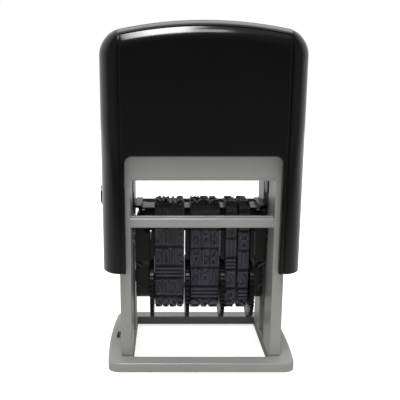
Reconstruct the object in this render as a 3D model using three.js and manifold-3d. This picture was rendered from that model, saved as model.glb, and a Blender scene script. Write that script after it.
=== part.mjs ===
// A self-inking date stamp: a grey frame on a base plate, a glossy cap that slides down over it,
// and a cradle of date belts that turns half a turn on its way from the ink pad to the paper.
// Millimetres, +X to the right, +Y away from the user, +Z up.
// The origin is the centre of the base plate's underside.
import * as THREE from 'three';
import { mergeVertices } from 'three/addons/utils/BufferGeometryUtils.js';
import Module from 'manifold-3d';

const wasm = await Module();
wasm.setup();

// Shared values
const clearance = 0.3;
const overrun = 0.6;
const stroke = 15.5;
const arcSteps = 8;
const roundSteps = 32;

// Base plate
const baseSideInset = 0.55;
const baseFaceReach = 1.2;
const baseThickness = 2.0;
const baseCorner = 2.6;
const baseEndBulge = 0.5;
const baseEdgeFillet = 0.45;
const baseOpeningLip = 0.1;
const baseOpeningPlay = 0.15;
const baseSocketLength = 3.2;
const baseSocketWidth = 0.8;
const baseSocketGap = 1.35;
const baseSocketDepth = 1.2;

// Frame
const frameSidePlay = 2.15;
const frameFacePlay = 0.4;
const frameWall = 2.3;
const headerHeight = 7.44;
const barThickness = 1.6;
const crossbarBottom = 29.4;
const crossbarHeight = 2.2;
const headerRise = 5.36;
const railProud = 0.2;
const edgeBevel = 0.3;
const grooveHalfDepth = 3.0;
const grooveSink = 0.8;
const bridgeRise = 4.74;
const bridgeThickness = 1.7;
const ledgeWidth = 1.2;
const ledgeHeight = 0.44;
const slotHeadroom = 4.9;

// Cap
const capHalfWidth = 20.15;
const capTaper = 0.05;
const capHalfDepth = 12.0;
const capTop = 69.6;
const capArchRadius = 80.3;
const capCrownRadius = 58.0;
const capCornerWidth = 4.15;
const capCornerDepth = 6.5;
const capSideFilletReach = 3.85;
const capSideFilletDrop = 4.03;
const capFaceFilletReach = 3.2;
const capFaceFilletDrop = 4.2;
const capInnerFilletShare = 0.62;
const roofRings = 4;
const capWall = 1.5;
const capFaceWall = 1.6;
const wingBottom = 19.9;
const wingEdgeRise = 0.6;
const cutoutPlay = 0.95;
const cutoutFillet = 1.5;

// Pins, lugs and the lock
const pivotPinRadius = 1.1;
const pivotPinInset = 1.4;
const pivotBossWall = 1.1;
const pivotBossReach = 1.65;
const lockRise = 2.7;
const lockHeadRadius = 2.1;
const lockHeadProud = 0.75;
const lockFlangeWidth = 0.6;
const lockFlangeThickness = 0.4;
const lockTipRadius = 1.1;
const lockTipLength = 0.95;
const lockDomeRise = 0.3;

// Retaining legs
const legProud = 0.1;
const legThickness = 0.65;
const legHalfDepth = 1.7;
const legReach = 4.5;
const legSocketDrop = 7.1;
const legSocketDepth = 3.0;
const legSocketWall = 0.9;

// Return springs
const springOffsetShare = 0.53;
const springMeanRadius = 2.6;
const springWireRadius = 0.35;
const springCurls = 7;
const springSeatDrop = 3.1;
const springSeatWall = 0.5;
const springPostHeight = 2.5;
const springStubLength = 2.2;
const curlSteps = 8;
const curlSides = 5;

// Pad cartridge and ink pad
const cartridgeRoof = 1.2;
const cartridgeRim = 1.6;
const cartridgeGripHalfWidth = 6.0;
const cartridgeGripDepth = 0.7;
const cartridgeGripHeight = 2.0;
const padThickness = 2.8;

// Cradle
const cheekPlay = 0.5;
const cheekThickness = 2.1;
const cheekTopDrop = 0.1;
const cheekHalfDepth = 4.5;
const cheekShoulderRise = 7.0;
const cheekShoulderDrop = 2.3;
const cheekFootHalfDepth = 2.4;
const cheekTopPlate = 0.5;
const cheekNotchDepth = 1.3;
const cheekNotchHeight = 3.1;
const cheekPadReach = 0.75;
const partitionHalfDepth = 3.9;
const webHeight = 4.1;
const cradleBridgeHalfDepth = 2.6;
const cradleBridgeThickness = 2.8;
const lugRise = 2.5;
const lugRadius = 1.45;
const lugProud = 0.25;

// Belts, platen and setting wheels
const wheelHeight = 13.7;
const wheelRadius = 6.95;
const wheelTeeth = 44;
const wheelToothDepth = 0.55;
const toothShares = [0, 0.2, 0.6, 0.8];
const wheelThickness = 0.8;
const wheelAxleRadius = 0.9;
const wheelAxleInset = 0.9;
const beltHalfDepth = 4.0;
const beltThickness = 0.8;
const beltTop = 33.1;
const beltCorner = 1.4;
const beltRows = 14;
const beltRowShare = 0.86;
const characterHeight = 0.6;
const platenHeight = 1.9;
const beltGap = 0.4;
const beltStartGap = 1.0;

// Each belt from left to right: its share of the belts' whole width, the side of its toothed
// flange and the shift of its first row
const dateBelts = [
  { name: 'year', widthShare: 0.368, flangeSide: -1, rowShiftShare: 0.12 },
  { name: 'month', widthShare: 0.361, flangeSide: -1, rowShiftShare: 0.1 },
  { name: 'day_tens', widthShare: 0.137, flangeSide: -1, rowShiftShare: 0.62 },
  { name: 'day_units', widthShare: 0.134, flangeSide: 1, rowShiftShare: 0.1 },
];

// Colours
const greyPlastic = { color: 0x9b998f, roughness: 0.45, metalness: 0 };
const blackGloss = { color: 0x141413, roughness: 0.15, metalness: 0 };
const blackPlastic = { color: 0x262823, roughness: 0.5, metalness: 0 };
const darkPlastic = { color: 0x42423f, roughness: 0.5, metalness: 0 };
const beltRubber = { color: 0x3f4148, roughness: 0.75, metalness: 0 };
const padFoam = { color: 0x1b1c24, roughness: 0.95, metalness: 0 };
const steel = { color: 0xb4b6b8, roughness: 0.3, metalness: 1 };

// Makes a solid for cutting and joining from a closed geometry.
function solidOf(geometry) {
  const bare = geometry.clone();
  bare.deleteAttribute('normal');
  bare.deleteAttribute('uv');
  const merged = mergeVertices(bare);
  const corners = merged.index.array;
  const kept = [];
  for (let i = 0; i < corners.length; i += 3) {
    const [a, b, c] = [corners[i], corners[i + 1], corners[i + 2]];
    if (a !== b && b !== c && c !== a) kept.push(a, b, c);
  }
  return new wasm.Manifold(new wasm.Mesh({
    numProp: 3,
    vertProperties: new Float32Array(merged.attributes.position.array),
    triVerts: new Uint32Array(kept),
  }));
}

// Gives a solid back as a geometry with flat normals.
function geometryOf(body) {
  const mesh = body.getMesh();
  const geometry = new THREE.BufferGeometry();
  geometry.setAttribute('position', new THREE.BufferAttribute(mesh.vertProperties, 3));
  geometry.setIndex(new THREE.BufferAttribute(mesh.triVerts, 1));
  geometry.computeVertexNormals();
  return geometry;
}

function joined(parts) {
  return parts.reduce((whole, part) => whole.add(part));
}

// A block between two corners.
function block([x0, y0, z0], [x1, y1, z1]) {
  const geometry = new THREE.BoxGeometry(x1 - x0, y1 - y0, z1 - z0);
  geometry.translate((x0 + x1) / 2, (y0 + y1) / 2, (z0 + z1) / 2);
  return solidOf(geometry);
}

function extruded(shape, length) {
  return new THREE.ExtrudeGeometry(shape, {
    depth: length,
    bevelEnabled: false,
    curveSegments: arcSteps,
  });
}

// An outline in y and z, pulled along x.
function prismX(shape, x0, x1) {
  const geometry = extruded(shape, x1 - x0);
  const [x, y, z] = [new THREE.Vector3(1, 0, 0), new THREE.Vector3(0, 1, 0), new THREE.Vector3(0, 0, 1)];
  geometry.applyMatrix4(new THREE.Matrix4().makeBasis(y, z, x));
  geometry.translate(x0, 0, 0);
  return solidOf(geometry);
}

// An outline in x and z, pulled along y.
function prismY(shape, y0, y1) {
  const geometry = extruded(shape, y1 - y0);
  geometry.rotateX(Math.PI / 2);
  geometry.translate(0, y1, 0);
  return solidOf(geometry);
}

// A round bar along x.
function rodX(radius, x0, x1, z) {
  const geometry = new THREE.CylinderGeometry(radius, radius, x1 - x0, roundSteps);
  geometry.rotateZ(-Math.PI / 2);
  geometry.translate((x0 + x1) / 2, 0, z);
  return solidOf(geometry);
}

// A round bar along z.
function rodZ(radius, x, z0, z1) {
  const geometry = new THREE.CylinderGeometry(radius, radius, z1 - z0, roundSteps);
  geometry.rotateX(Math.PI / 2);
  geometry.translate(x, 0, (z0 + z1) / 2);
  return solidOf(geometry);
}

function polygon(points) {
  return new THREE.Shape(points.map(([a, b]) => new THREE.Vector2(a, b)));
}

function rounded(a0, b0, a1, b1, radius) {
  const shape = new THREE.Shape();
  shape.moveTo(a0 + radius, b0);
  shape.lineTo(a1 - radius, b0);
  shape.absarc(a1 - radius, b0 + radius, radius, -Math.PI / 2, 0);
  shape.lineTo(a1, b1 - radius);
  shape.absarc(a1 - radius, b1 - radius, radius, 0, Math.PI / 2);
  shape.lineTo(a0 + radius, b1);
  shape.absarc(a0 + radius, b1 - radius, radius, Math.PI / 2, Math.PI);
  shape.lineTo(a0, b0 + radius);
  shape.absarc(a0 + radius, b0 + radius, radius, Math.PI, 1.5 * Math.PI);
  return shape;
}

// Values that follow from the sizes above
const pivotHeight = (stroke + beltTop + characterHeight) / 2;
const capFaceHalfWidth = capHalfWidth - capCornerWidth;
const capInnerSide = capHalfWidth - capWall;
const frameOuterHalfWidth = capInnerSide - frameSidePlay;
const frameInnerHalfWidth = frameOuterHalfWidth - frameWall;
const frameHalfDepth = capHalfDepth - capFaceWall - frameFacePlay;
const frameBarInner = frameHalfDepth - barThickness;
const crossbarTop = crossbarBottom + crossbarHeight;
const lockHeight = crossbarTop + lockRise;
const headerBottom = beltTop + characterHeight + headerRise;
const frameTop = headerBottom + headerHeight;
const grooveFloor = frameInnerHalfWidth + grooveSink;
const bridgeBottom = headerBottom + bridgeRise;
const bridgeTop = bridgeBottom + bridgeThickness;
const cutoutHalfWidth = frameInnerHalfWidth + cutoutPlay;
const cutoutTop = bridgeBottom;
const baseHalfWidth = capHalfWidth - baseSideInset;
const baseHalfDepth = capHalfDepth + baseFaceReach;
const baseOpeningHalfWidth = frameInnerHalfWidth - baseOpeningLip;
const baseOpeningHalfDepth = frameHalfDepth + baseOpeningPlay;
const baseSocketOffset = frameOuterHalfWidth + baseSocketGap;
const legInnerFace = frameInnerHalfWidth - legProud;
const legBottom = headerBottom - legReach;
const legSocketBottom = capTop - legSocketDrop;
const springOffset = springOffsetShare * frameInnerHalfWidth;
const springSeatHeight = capTop - springSeatDrop;
const slotHalfWidth = pivotPinRadius + clearance;
const cheekOuterFace = frameInnerHalfWidth - cheekPlay;
const cheekInnerFace = cheekOuterFace - cheekThickness;
const cheekTop = beltTop - cheekTopDrop;
const cheekShoulder = wheelHeight + cheekShoulderRise;
const lugHeight = wheelHeight + lugRise;
const beltInnerHalfDepth = beltHalfDepth - beltThickness;
const beltInnerTop = beltTop - beltThickness;
const hubRadius = beltInnerHalfDepth - clearance;
const platenTop = beltInnerTop - clearance;
const platenBottom = platenTop - platenHeight;
const cradleBridgeTop = platenBottom - clearance;
const cartridgeHalfWidth = legInnerFace - clearance;
const cartridgeTop = bridgeBottom - clearance;
const cartridgeBottom = headerBottom + ledgeHeight + clearance;
const padHalfWidth = frameInnerHalfWidth - ledgeWidth - 2 * clearance - clearance;
const padHalfDepth = frameBarInner - cartridgeRim;
const partitionBottom = wheelHeight + wheelRadius + clearance;

// Lays the belts out from the left cheek to the right one, each with its flange beside it.
function laidOut(belts) {
  const flangeWidth = wheelThickness + beltGap / 2;
  const room = 2 * cheekInnerFace - beltStartGap - belts.length * (flangeWidth + clearance);
  let edge = -cheekInnerFace + beltStartGap;
  return belts.map((belt) => {
    const before = belt.flangeSide < 0;
    const left = before ? edge + flangeWidth : edge;
    const right = left + belt.widthShare * room;
    edge = (before ? right : right + flangeWidth) + clearance;
    return { ...belt, left, right };
  });
}

// Where the toothed flange beside a belt starts.
function flangeStart(belt) {
  return belt.flangeSide < 0 ? belt.left - beltGap / 2 - wheelThickness : belt.right + beltGap / 2;
}

function archDrop(x, radius) {
  return radius - Math.sqrt(radius * radius - x * x);
}

// Base plate
function basePlate() {
  const end = baseHalfWidth - baseEndBulge;
  const outline = new THREE.Shape();
  outline.moveTo(-end + baseCorner, -baseHalfDepth);
  outline.lineTo(end - baseCorner, -baseHalfDepth);
  outline.quadraticCurveTo(end, -baseHalfDepth, end, -baseHalfDepth + baseCorner);
  outline.quadraticCurveTo(end + 2 * baseEndBulge, 0, end, baseHalfDepth - baseCorner);
  outline.quadraticCurveTo(end, baseHalfDepth, end - baseCorner, baseHalfDepth);
  outline.lineTo(-end + baseCorner, baseHalfDepth);
  outline.quadraticCurveTo(-end, baseHalfDepth, -end, baseHalfDepth - baseCorner);
  outline.quadraticCurveTo(-end - 2 * baseEndBulge, 0, -end, -baseHalfDepth + baseCorner);
  outline.quadraticCurveTo(-end, -baseHalfDepth, -end + baseCorner, -baseHalfDepth);
  const geometry = new THREE.ExtrudeGeometry(outline, {
    depth: baseThickness - baseEdgeFillet,
    bevelThickness: baseEdgeFillet,
    bevelSize: baseEdgeFillet,
    bevelOffset: -baseEdgeFillet,
    bevelSegments: 3,
    curveSegments: arcSteps,
  });
  const below = block(
    [-2 * baseHalfWidth, -2 * baseHalfDepth, -baseEdgeFillet - overrun],
    [2 * baseHalfWidth, 2 * baseHalfDepth, 0],
  );
  const opening = block(
    [-baseOpeningHalfWidth, -baseOpeningHalfDepth, -overrun],
    [baseOpeningHalfWidth, baseOpeningHalfDepth, baseThickness + overrun],
  );
  let plate = solidOf(geometry).subtract(below).subtract(opening);
  for (const side of [-1, 1]) {
    const near = side * baseSocketOffset - baseSocketWidth / 2;
    plate = plate.subtract(block(
      [near, -baseSocketLength / 2, baseThickness - baseSocketDepth],
      [near + baseSocketWidth, baseSocketLength / 2, baseThickness + overrun],
    ));
  }
  return plate;
}

// A bar between the side walls, with its long outer edges bevelled.
function frameBar(side, z0, z1) {
  const [inner, outer] = [side * frameBarInner, side * frameHalfDepth];
  const bevel = side * edgeBevel;
  const outline = polygon([
    [inner, z0],
    [outer - bevel, z0],
    [outer, z0 + edgeBevel],
    [outer, z1 - edgeBevel],
    [outer - bevel, z1],
    [inner, z1],
  ]);
  const reach = frameInnerHalfWidth + frameWall / 2;
  return side > 0
    ? prismX(outline, -reach, reach)
    : prismX(new THREE.Shape(outline.getPoints().reverse()), -reach, reach);
}

// Frame: side walls with guide grooves and slots, crossbars, headers and the spring bridge.
function frameBody() {
  const parts = [];
  for (const side of [-1, 1]) {
    const inner = Math.min(side * frameInnerHalfWidth, side * frameOuterHalfWidth);
    parts.push(block(
      [inner, -frameHalfDepth, baseThickness],
      [inner + frameWall, frameHalfDepth, frameTop],
    ));
    const rail = Math.min(side * (frameInnerHalfWidth - railProud), side * frameOuterHalfWidth);
    parts.push(block(
      [rail, -frameHalfDepth + edgeBevel, crossbarBottom],
      [rail + frameWall + railProud, frameHalfDepth - edgeBevel, crossbarTop],
    ));
    parts.push(frameBar(side, crossbarBottom, crossbarTop));
    const ledge = Math.min(side * (frameInnerHalfWidth - ledgeWidth), side * grooveFloor);
    parts.push(block(
      [ledge, -frameHalfDepth + edgeBevel, headerBottom],
      [ledge + ledgeWidth + grooveSink, frameHalfDepth - edgeBevel, headerBottom + ledgeHeight],
    ));
    parts.push(rodZ(springMeanRadius - springWireRadius - clearance, side * springOffset,
      bridgeTop - overrun, bridgeTop + springPostHeight));
  }
  parts.push(frameBar(-1, headerBottom, frameTop));
  parts.push(frameBar(1, bridgeBottom, frameTop));
  parts.push(block(
    [-frameOuterHalfWidth + edgeBevel, -frameHalfDepth + edgeBevel, bridgeBottom],
    [frameOuterHalfWidth - edgeBevel, frameHalfDepth - edgeBevel, bridgeTop],
  ));
  let frame = joined(parts);
  for (const side of [-1, 1]) {
    const groove = Math.min(side * (legInnerFace - clearance), side * grooveFloor);
    frame = frame.subtract(block(
      [groove, -grooveHalfDepth, baseThickness - overrun],
      [groove + grooveFloor - legInnerFace + clearance, grooveHalfDepth, frameTop + overrun],
    ));
    const reach = side * (frameOuterHalfWidth + overrun);
    const [near, far] = side > 0 ? [frameInnerHalfWidth, reach] : [reach, -frameInnerHalfWidth];
    const slot = new THREE.Shape();
    slot.absarc(0, pivotHeight - stroke, slotHalfWidth, Math.PI, 2 * Math.PI);
    slot.absarc(0, pivotHeight + slotHeadroom, slotHalfWidth, 0, Math.PI);
    frame = frame.subtract(prismX(slot, near, far));
    frame = frame.subtract(rodX(lockTipRadius + clearance, near, far, lockHeight));
  }
  return frame;
}

// How far the cap's roof lies below its top: its arch and its crown together.
function roofDrop(x, y) {
  return archDrop(x, capArchRadius) + archDrop(y, capCrownRadius);
}

// Places round the cap's walls from above, each with its outward direction: flat front and back,
// elliptic corners and flat ends.
function capColumns() {
  const quarter = [];
  for (let i = 0; i <= arcSteps; i += 1) {
    const share = i / arcSteps;
    const turn = (share * Math.PI) / 2;
    const out = new THREE.Vector2(Math.sin(turn) / capCornerWidth, Math.cos(turn) / capCornerDepth);
    out.normalize();
    quarter.push(
      { x: share * capFaceHalfWidth, y: capHalfDepth, outX: 0, outY: 1 },
      {
        x: capFaceHalfWidth + capCornerWidth * Math.sin(turn),
        y: capHalfDepth - capCornerDepth * (1 - Math.cos(turn)),
        outX: out.x,
        outY: out.y,
      },
      { x: capHalfWidth, y: share * (capHalfDepth - capCornerDepth), outX: 1, outY: 0 },
    );
  }
  return [[1, 1], [1, -1], [-1, 1], [-1, -1]].flatMap(([signX, signY]) => quarter.map((column) => ({
    x: signX * column.x,
    y: signY * column.y,
    outX: signX * column.outX,
    outY: signY * column.outY,
  })));
}

// The cap's full solid down to a height, with its faces set in: tapered walls, filleted top edges
// and the roof.
function capSolid(sideInset, faceInset, filletShare, bottom) {
  const points = [];
  for (const { x, y, outX, outY } of capColumns()) {
    const [shareX, shareY] = [outX * outX, outY * outY];
    const inset = shareX * sideInset + shareY * faceInset;
    const reach = filletShare * (shareX * capSideFilletReach + shareY * capFaceFilletReach);
    const drop = filletShare * (shareX * capSideFilletDrop + shareY * capFaceFilletDrop);
    const place = (along, share, fall) => {
      const [px, py] = [share * (x - outX * along), share * (y - outY * along)];
      points.push([px, py, capTop - sideInset - roofDrop(px, py) - fall]);
    };
    points.push([x - outX * inset, y - outY * inset, bottom]);
    for (let i = 0; i <= arcSteps; i += 1) {
      const turn = (i * Math.PI) / (2 * arcSteps);
      const along = inset + capTaper * shareX + reach * (1 - Math.cos(turn));
      place(along, 1, drop * (1 - Math.sin(turn)));
    }
    for (let ring = 0; ring < roofRings; ring += 1) {
      place(inset + capTaper * shareX + reach, ring / roofRings, 0);
    }
  }
  return wasm.Manifold.hull(points);
}

// What lies below the wings, whose lower edges rise a little to the front and back.
function belowWings() {
  const deep = capHalfDepth + overrun;
  const shape = new THREE.Shape();
  shape.moveTo(deep, wingBottom + wingEdgeRise);
  shape.quadraticCurveTo(0, wingBottom - wingEdgeRise, -deep, wingBottom + wingEdgeRise);
  shape.lineTo(-deep, wingBottom - 3 * overrun);
  shape.lineTo(deep, wingBottom - 3 * overrun);
  return prismX(shape, -capHalfWidth - overrun, capHalfWidth + overrun);
}

// Cap: a shell open below, cut out at front and back, with bosses, spring seats and leg sockets.
function capShell() {
  const deep = capHalfDepth + overrun;
  const low = wingBottom - overrun;
  const outer = capSolid(0, 0, 1, low).subtract(belowWings());
  const inner = capSolid(capWall, capFaceWall, capInnerFilletShare, low - overrun);
  const cutout = prismY(
    rounded(-cutoutHalfWidth, low - cutoutFillet, cutoutHalfWidth, cutoutTop, cutoutFillet),
    -deep,
    deep,
  );
  let cap = outer.subtract(inner).subtract(cutout);
  for (const side of [-1, 1]) {
    const bossNear = side * (capInnerSide - pivotBossReach);
    const bossFar = side * (capInnerSide + capWall / 2);
    const [boss0, boss1] = side > 0 ? [bossNear, bossFar] : [bossFar, bossNear];
    cap = cap.add(rodX(pivotPinRadius + clearance + pivotBossWall, boss0, boss1, pivotHeight));
    const boreFar = side * (capInnerSide + clearance);
    const [bore0, bore1] = side > 0 ? [bossNear - overrun, boreFar] : [boreFar, bossNear + overrun];
    cap = cap.subtract(rodX(pivotPinRadius + clearance, bore0, bore1, pivotHeight));
    const holeNear = side * (capInnerSide - overrun);
    const holeFar = side * (capHalfWidth + overrun);
    const [hole0, hole1] = side > 0 ? [holeNear, holeFar] : [holeFar, holeNear];
    cap = cap.subtract(rodX(lockHeadRadius + clearance, hole0, hole1, lockHeight));

    const roof = capTop - capWall - archDrop(springOffset, capArchRadius);
    cap = cap.add(rodZ(springMeanRadius + springWireRadius + springSeatWall, side * springOffset,
      springSeatHeight, roof + capWall / 2));
    cap = cap.add(rodZ(springMeanRadius - springWireRadius - clearance, side * springOffset,
      springSeatHeight - springStubLength, springSeatHeight + overrun));

    const socketNear = legInnerFace - clearance - legSocketWall;
    const socketFar = legInnerFace + legThickness + clearance + legSocketWall;
    const socketRoof = capTop - capWall - archDrop(socketFar, capArchRadius) + capWall / 2;
    const [socket0, socket1] = side > 0 ? [socketNear, socketFar] : [-socketFar, -socketNear];
    const socketDepth = legHalfDepth + clearance + legSocketWall;
    cap = cap.add(block(
      [socket0, -socketDepth, legSocketBottom],
      [socket1, socketDepth, socketRoof],
    ));
    cap = cap.subtract(block(
      [socket0 + legSocketWall, -legHalfDepth - clearance, legSocketBottom - overrun],
      [socket1 - legSocketWall, legHalfDepth + clearance, legSocketBottom + legSocketDepth],
    ));
  }
  return cap;
}

// Pivot pin: seated in the cap's boss, through the frame's slot, into the cradle's cheek.
function pivotPin(side) {
  const near = side * (cheekOuterFace - pivotPinInset);
  const far = side * capInnerSide;
  return rodX(pivotPinRadius, Math.min(near, far), Math.max(near, far), pivotHeight);
}

// Retaining leg: a slim strip with a round foot that hangs from the cap into the frame's groove.
function retainingLeg(side) {
  const top = legSocketBottom + legSocketDepth - clearance;
  const shape = new THREE.Shape();
  shape.moveTo(legHalfDepth, top);
  shape.lineTo(-legHalfDepth, top);
  shape.lineTo(-legHalfDepth, legBottom + legHalfDepth);
  shape.absarc(0, legBottom + legHalfDepth, legHalfDepth, Math.PI, 2 * Math.PI);
  const near = side > 0 ? legInnerFace : -legInnerFace - legThickness;
  return prismX(shape, near, near + legThickness);
}

// Lock button: a domed head in the wing, a flange behind the wall and a tip that locks the frame.
function lockButton(side) {
  const face = capHalfWidth + lockHeadProud;
  const flangeOuter = capInnerSide - clearance;
  const flangeInner = flangeOuter - lockFlangeThickness;
  const tip = flangeInner - lockTipLength;
  const rim = lockHeadRadius + clearance + lockFlangeWidth;
  const profile = [
    [0, tip],
    [lockTipRadius, tip],
    [lockTipRadius, flangeInner],
    [rim, flangeInner],
    [rim, flangeOuter],
    [lockHeadRadius, flangeOuter],
    [lockHeadRadius, face - lockDomeRise],
    [lockHeadRadius / 2, face - lockDomeRise / 4],
    [0, face],
  ];
  const points = profile.map(([r, x]) => new THREE.Vector2(r, x));
  const geometry = new THREE.LatheGeometry(points, roundSteps);
  geometry.rotateZ((-side * Math.PI) / 2);
  geometry.translate(0, 0, lockHeight);
  return solidOf(geometry);
}

// Return spring: one unbroken round wire, wound as a helix between its two seats.
function springGeometry(side) {
  const bottom = bridgeTop + clearance + springWireRadius;
  const top = springSeatHeight - clearance - springWireRadius;
  const steps = springCurls * curlSteps;
  const wirePoints = [];
  for (let i = 0; i <= steps; i += 1) {
    const turn = (2 * Math.PI * i) / curlSteps;
    wirePoints.push(new THREE.Vector3(
      side * springOffset + springMeanRadius * Math.cos(turn),
      springMeanRadius * Math.sin(turn),
      bottom + ((top - bottom) * i) / steps,
    ));
  }
  const positions = [];
  wirePoints.forEach((point, i) => {
    const turn = (2 * Math.PI * i) / curlSteps;
    const out = new THREE.Vector3(Math.cos(turn), Math.sin(turn), 0);
    const up = new THREE.Vector3(0, 0, 1);
    for (let k = 0; k < curlSides; k += 1) {
      const around = (2 * Math.PI * k) / curlSides;
      const corner = point.clone()
        .addScaledVector(out, springWireRadius * Math.cos(around))
        .addScaledVector(up, springWireRadius * Math.sin(around));
      positions.push(corner.x, corner.y, corner.z);
    }
  });
  const index = [];
  for (let i = 0; i < steps; i += 1) {
    for (let k = 0; k < curlSides; k += 1) {
      const next = (k + 1) % curlSides;
      const [a, b] = [i * curlSides + k, i * curlSides + next];
      const [c, d] = [a + curlSides, b + curlSides];
      index.push(a, d, b, a, c, d);
    }
  }
  for (let k = 1; k < curlSides - 1; k += 1) {
    const last = steps * curlSides;
    index.push(0, k, k + 1, last, last + k + 1, last + k);
  }
  let least = Infinity;
  for (let i = 0; i < wirePoints.length; i += 1) {
    for (let j = i + curlSteps / 2; j < wirePoints.length; j += 1) {
      least = Math.min(least, wirePoints[i].distanceTo(wirePoints[j]) - 2 * springWireRadius);
    }
  }
  console.log(`return spring: least gap to itself ${least.toFixed(2)} mm`);
  const geometry = new THREE.BufferGeometry();
  geometry.setAttribute('position', new THREE.Float32BufferAttribute(positions, 3));
  geometry.setIndex(index);
  geometry.computeVertexNormals();
  return geometry;
}

// Pad cartridge: a tray on the frame's ledges, open below. Its back plate fills the back header's
// gap and has a groove for a fingernail.
function padCartridge() {
  const front = -frameBarInner + clearance;
  const tray = block(
    [-cartridgeHalfWidth, front, cartridgeBottom],
    [cartridgeHalfWidth, frameHalfDepth, cartridgeTop],
  );
  const backPlate = block(
    [-padHalfWidth - clearance, frameBarInner, headerBottom],
    [padHalfWidth + clearance, frameHalfDepth, cartridgeTop],
  );
  const middle = (headerBottom + cartridgeTop) / 2;
  const grip = block(
    [-cartridgeGripHalfWidth, frameHalfDepth - cartridgeGripDepth, middle - cartridgeGripHeight / 2],
    [cartridgeGripHalfWidth, frameHalfDepth + overrun, middle + cartridgeGripHeight / 2],
  );
  const recess = block(
    [-padHalfWidth - clearance, -padHalfDepth - clearance, cartridgeBottom - overrun],
    [padHalfWidth + clearance, padHalfDepth + clearance, cartridgeTop - cartridgeRoof],
  );
  return tray.add(backPlate).subtract(grip).subtract(recess);
}

function inkPad() {
  const top = cartridgeTop - cartridgeRoof - clearance;
  return block(
    [-padHalfWidth, -padHalfDepth, top - padThickness],
    [padHalfWidth, padHalfDepth, top],
  );
}

// A cheek's outline from the side: shouldered, with a round foot.
function cheekOutline() {
  const cheek = new THREE.Shape();
  cheek.moveTo(cheekHalfDepth, cheekTop);
  cheek.lineTo(-cheekHalfDepth, cheekTop);
  cheek.lineTo(-cheekHalfDepth, cheekShoulder);
  cheek.lineTo(-cheekFootHalfDepth, cheekShoulder - cheekShoulderDrop);
  cheek.absarc(0, wheelHeight, cheekFootHalfDepth, Math.PI, 2 * Math.PI);
  cheek.lineTo(cheekFootHalfDepth, cheekShoulder - cheekShoulderDrop);
  cheek.lineTo(cheekHalfDepth, cheekShoulder);
  return cheek;
}

// One cheek with a notch below its top plate on the outside, and a follower lug.
function cradleCheek(side) {
  const near = side > 0 ? cheekInnerFace : -cheekOuterFace;
  const notchTop = cheekTop - cheekTopPlate;
  const notch = polygon([
    [side * cheekOuterFace, notchTop - cheekNotchHeight],
    [side * (cheekOuterFace + overrun), notchTop - cheekNotchHeight],
    [side * (cheekOuterFace + overrun), notchTop],
    [side * (cheekOuterFace - cheekNotchDepth), notchTop],
  ]);
  const lugNear = side * (cheekOuterFace - cheekThickness / 2);
  const lugFar = side * (cheekOuterFace + lugProud);
  return prismX(cheekOutline(), near, near + cheekThickness)
    .subtract(prismY(notch, -cheekHalfDepth - overrun, cheekHalfDepth + overrun))
    .add(rodX(lugRadius, Math.min(lugNear, lugFar), Math.max(lugNear, lugFar), lugHeight));
}

// Cradle: two cheeks joined by a bridge, a partition above each setting wheel's flange, and a pad
// on the left cheek with a web to the first partition.
function cradleBody() {
  const bridgeBelow = cradleBridgeTop - cradleBridgeThickness;
  const padEnd = -cheekInnerFace + cheekPadReach;
  const padded = prismX(cheekOutline(), -cheekInnerFace - overrun, padEnd).subtract(block(
    [-cheekInnerFace - 2 * overrun, -cheekHalfDepth - overrun, bridgeBelow],
    [padEnd + overrun, cheekHalfDepth + overrun, cheekTop + overrun],
  ));
  const bridge = block(
    [-cheekInnerFace - overrun, -cradleBridgeHalfDepth, bridgeBelow],
    [cheekInnerFace + overrun, cradleBridgeHalfDepth, cradleBridgeTop],
  );
  const partitions = laidOut(dateBelts).map((belt) => block(
    [flangeStart(belt), -partitionHalfDepth, partitionBottom],
    [flangeStart(belt) + wheelThickness, partitionHalfDepth, bridgeBelow + overrun],
  ));
  const web = block(
    [padEnd - overrun, -partitionHalfDepth, partitionBottom],
    [padEnd + overrun, partitionHalfDepth, partitionBottom + webHeight],
  );
  let cradle = joined([cradleCheek(-1), cradleCheek(1), padded, bridge, web, ...partitions]);
  for (const side of [-1, 1]) {
    const pinFloor = side * (cheekOuterFace - pivotPinInset - clearance);
    const outside = side * (cheekOuterFace + overrun);
    cradle = cradle.subtract(rodX(pivotPinRadius + clearance,
      Math.min(pinFloor, outside), Math.max(pinFloor, outside), pivotHeight));
    const axleFloor = side * (cheekOuterFace - wheelAxleInset + clearance);
    const inside = side * (cheekInnerFace - cheekPadReach - overrun);
    cradle = cradle.subtract(rodX(wheelAxleRadius + clearance,
      Math.min(axleFloor, inside), Math.max(axleFloor, inside), wheelHeight));
  }
  return cradle;
}

// Platen: the bar under the belts' printing stretch, with its top edges rounded.
function platen() {
  const radius = beltCorner - beltThickness - clearance;
  const half = hubRadius;
  const shape = new THREE.Shape();
  shape.moveTo(-half, platenBottom);
  shape.lineTo(half, platenBottom);
  shape.lineTo(half, platenTop - radius);
  shape.absarc(half - radius, platenTop - radius, radius, 0, Math.PI / 2);
  shape.absarc(-half + radius, platenTop - radius, radius, Math.PI / 2, Math.PI);
  return prismX(shape, -cheekInnerFace + clearance, cheekInnerFace - clearance);
}

function wheelAxle() {
  const end = cheekOuterFace - wheelAxleInset;
  return rodX(wheelAxleRadius, -end, end, wheelHeight);
}

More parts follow.
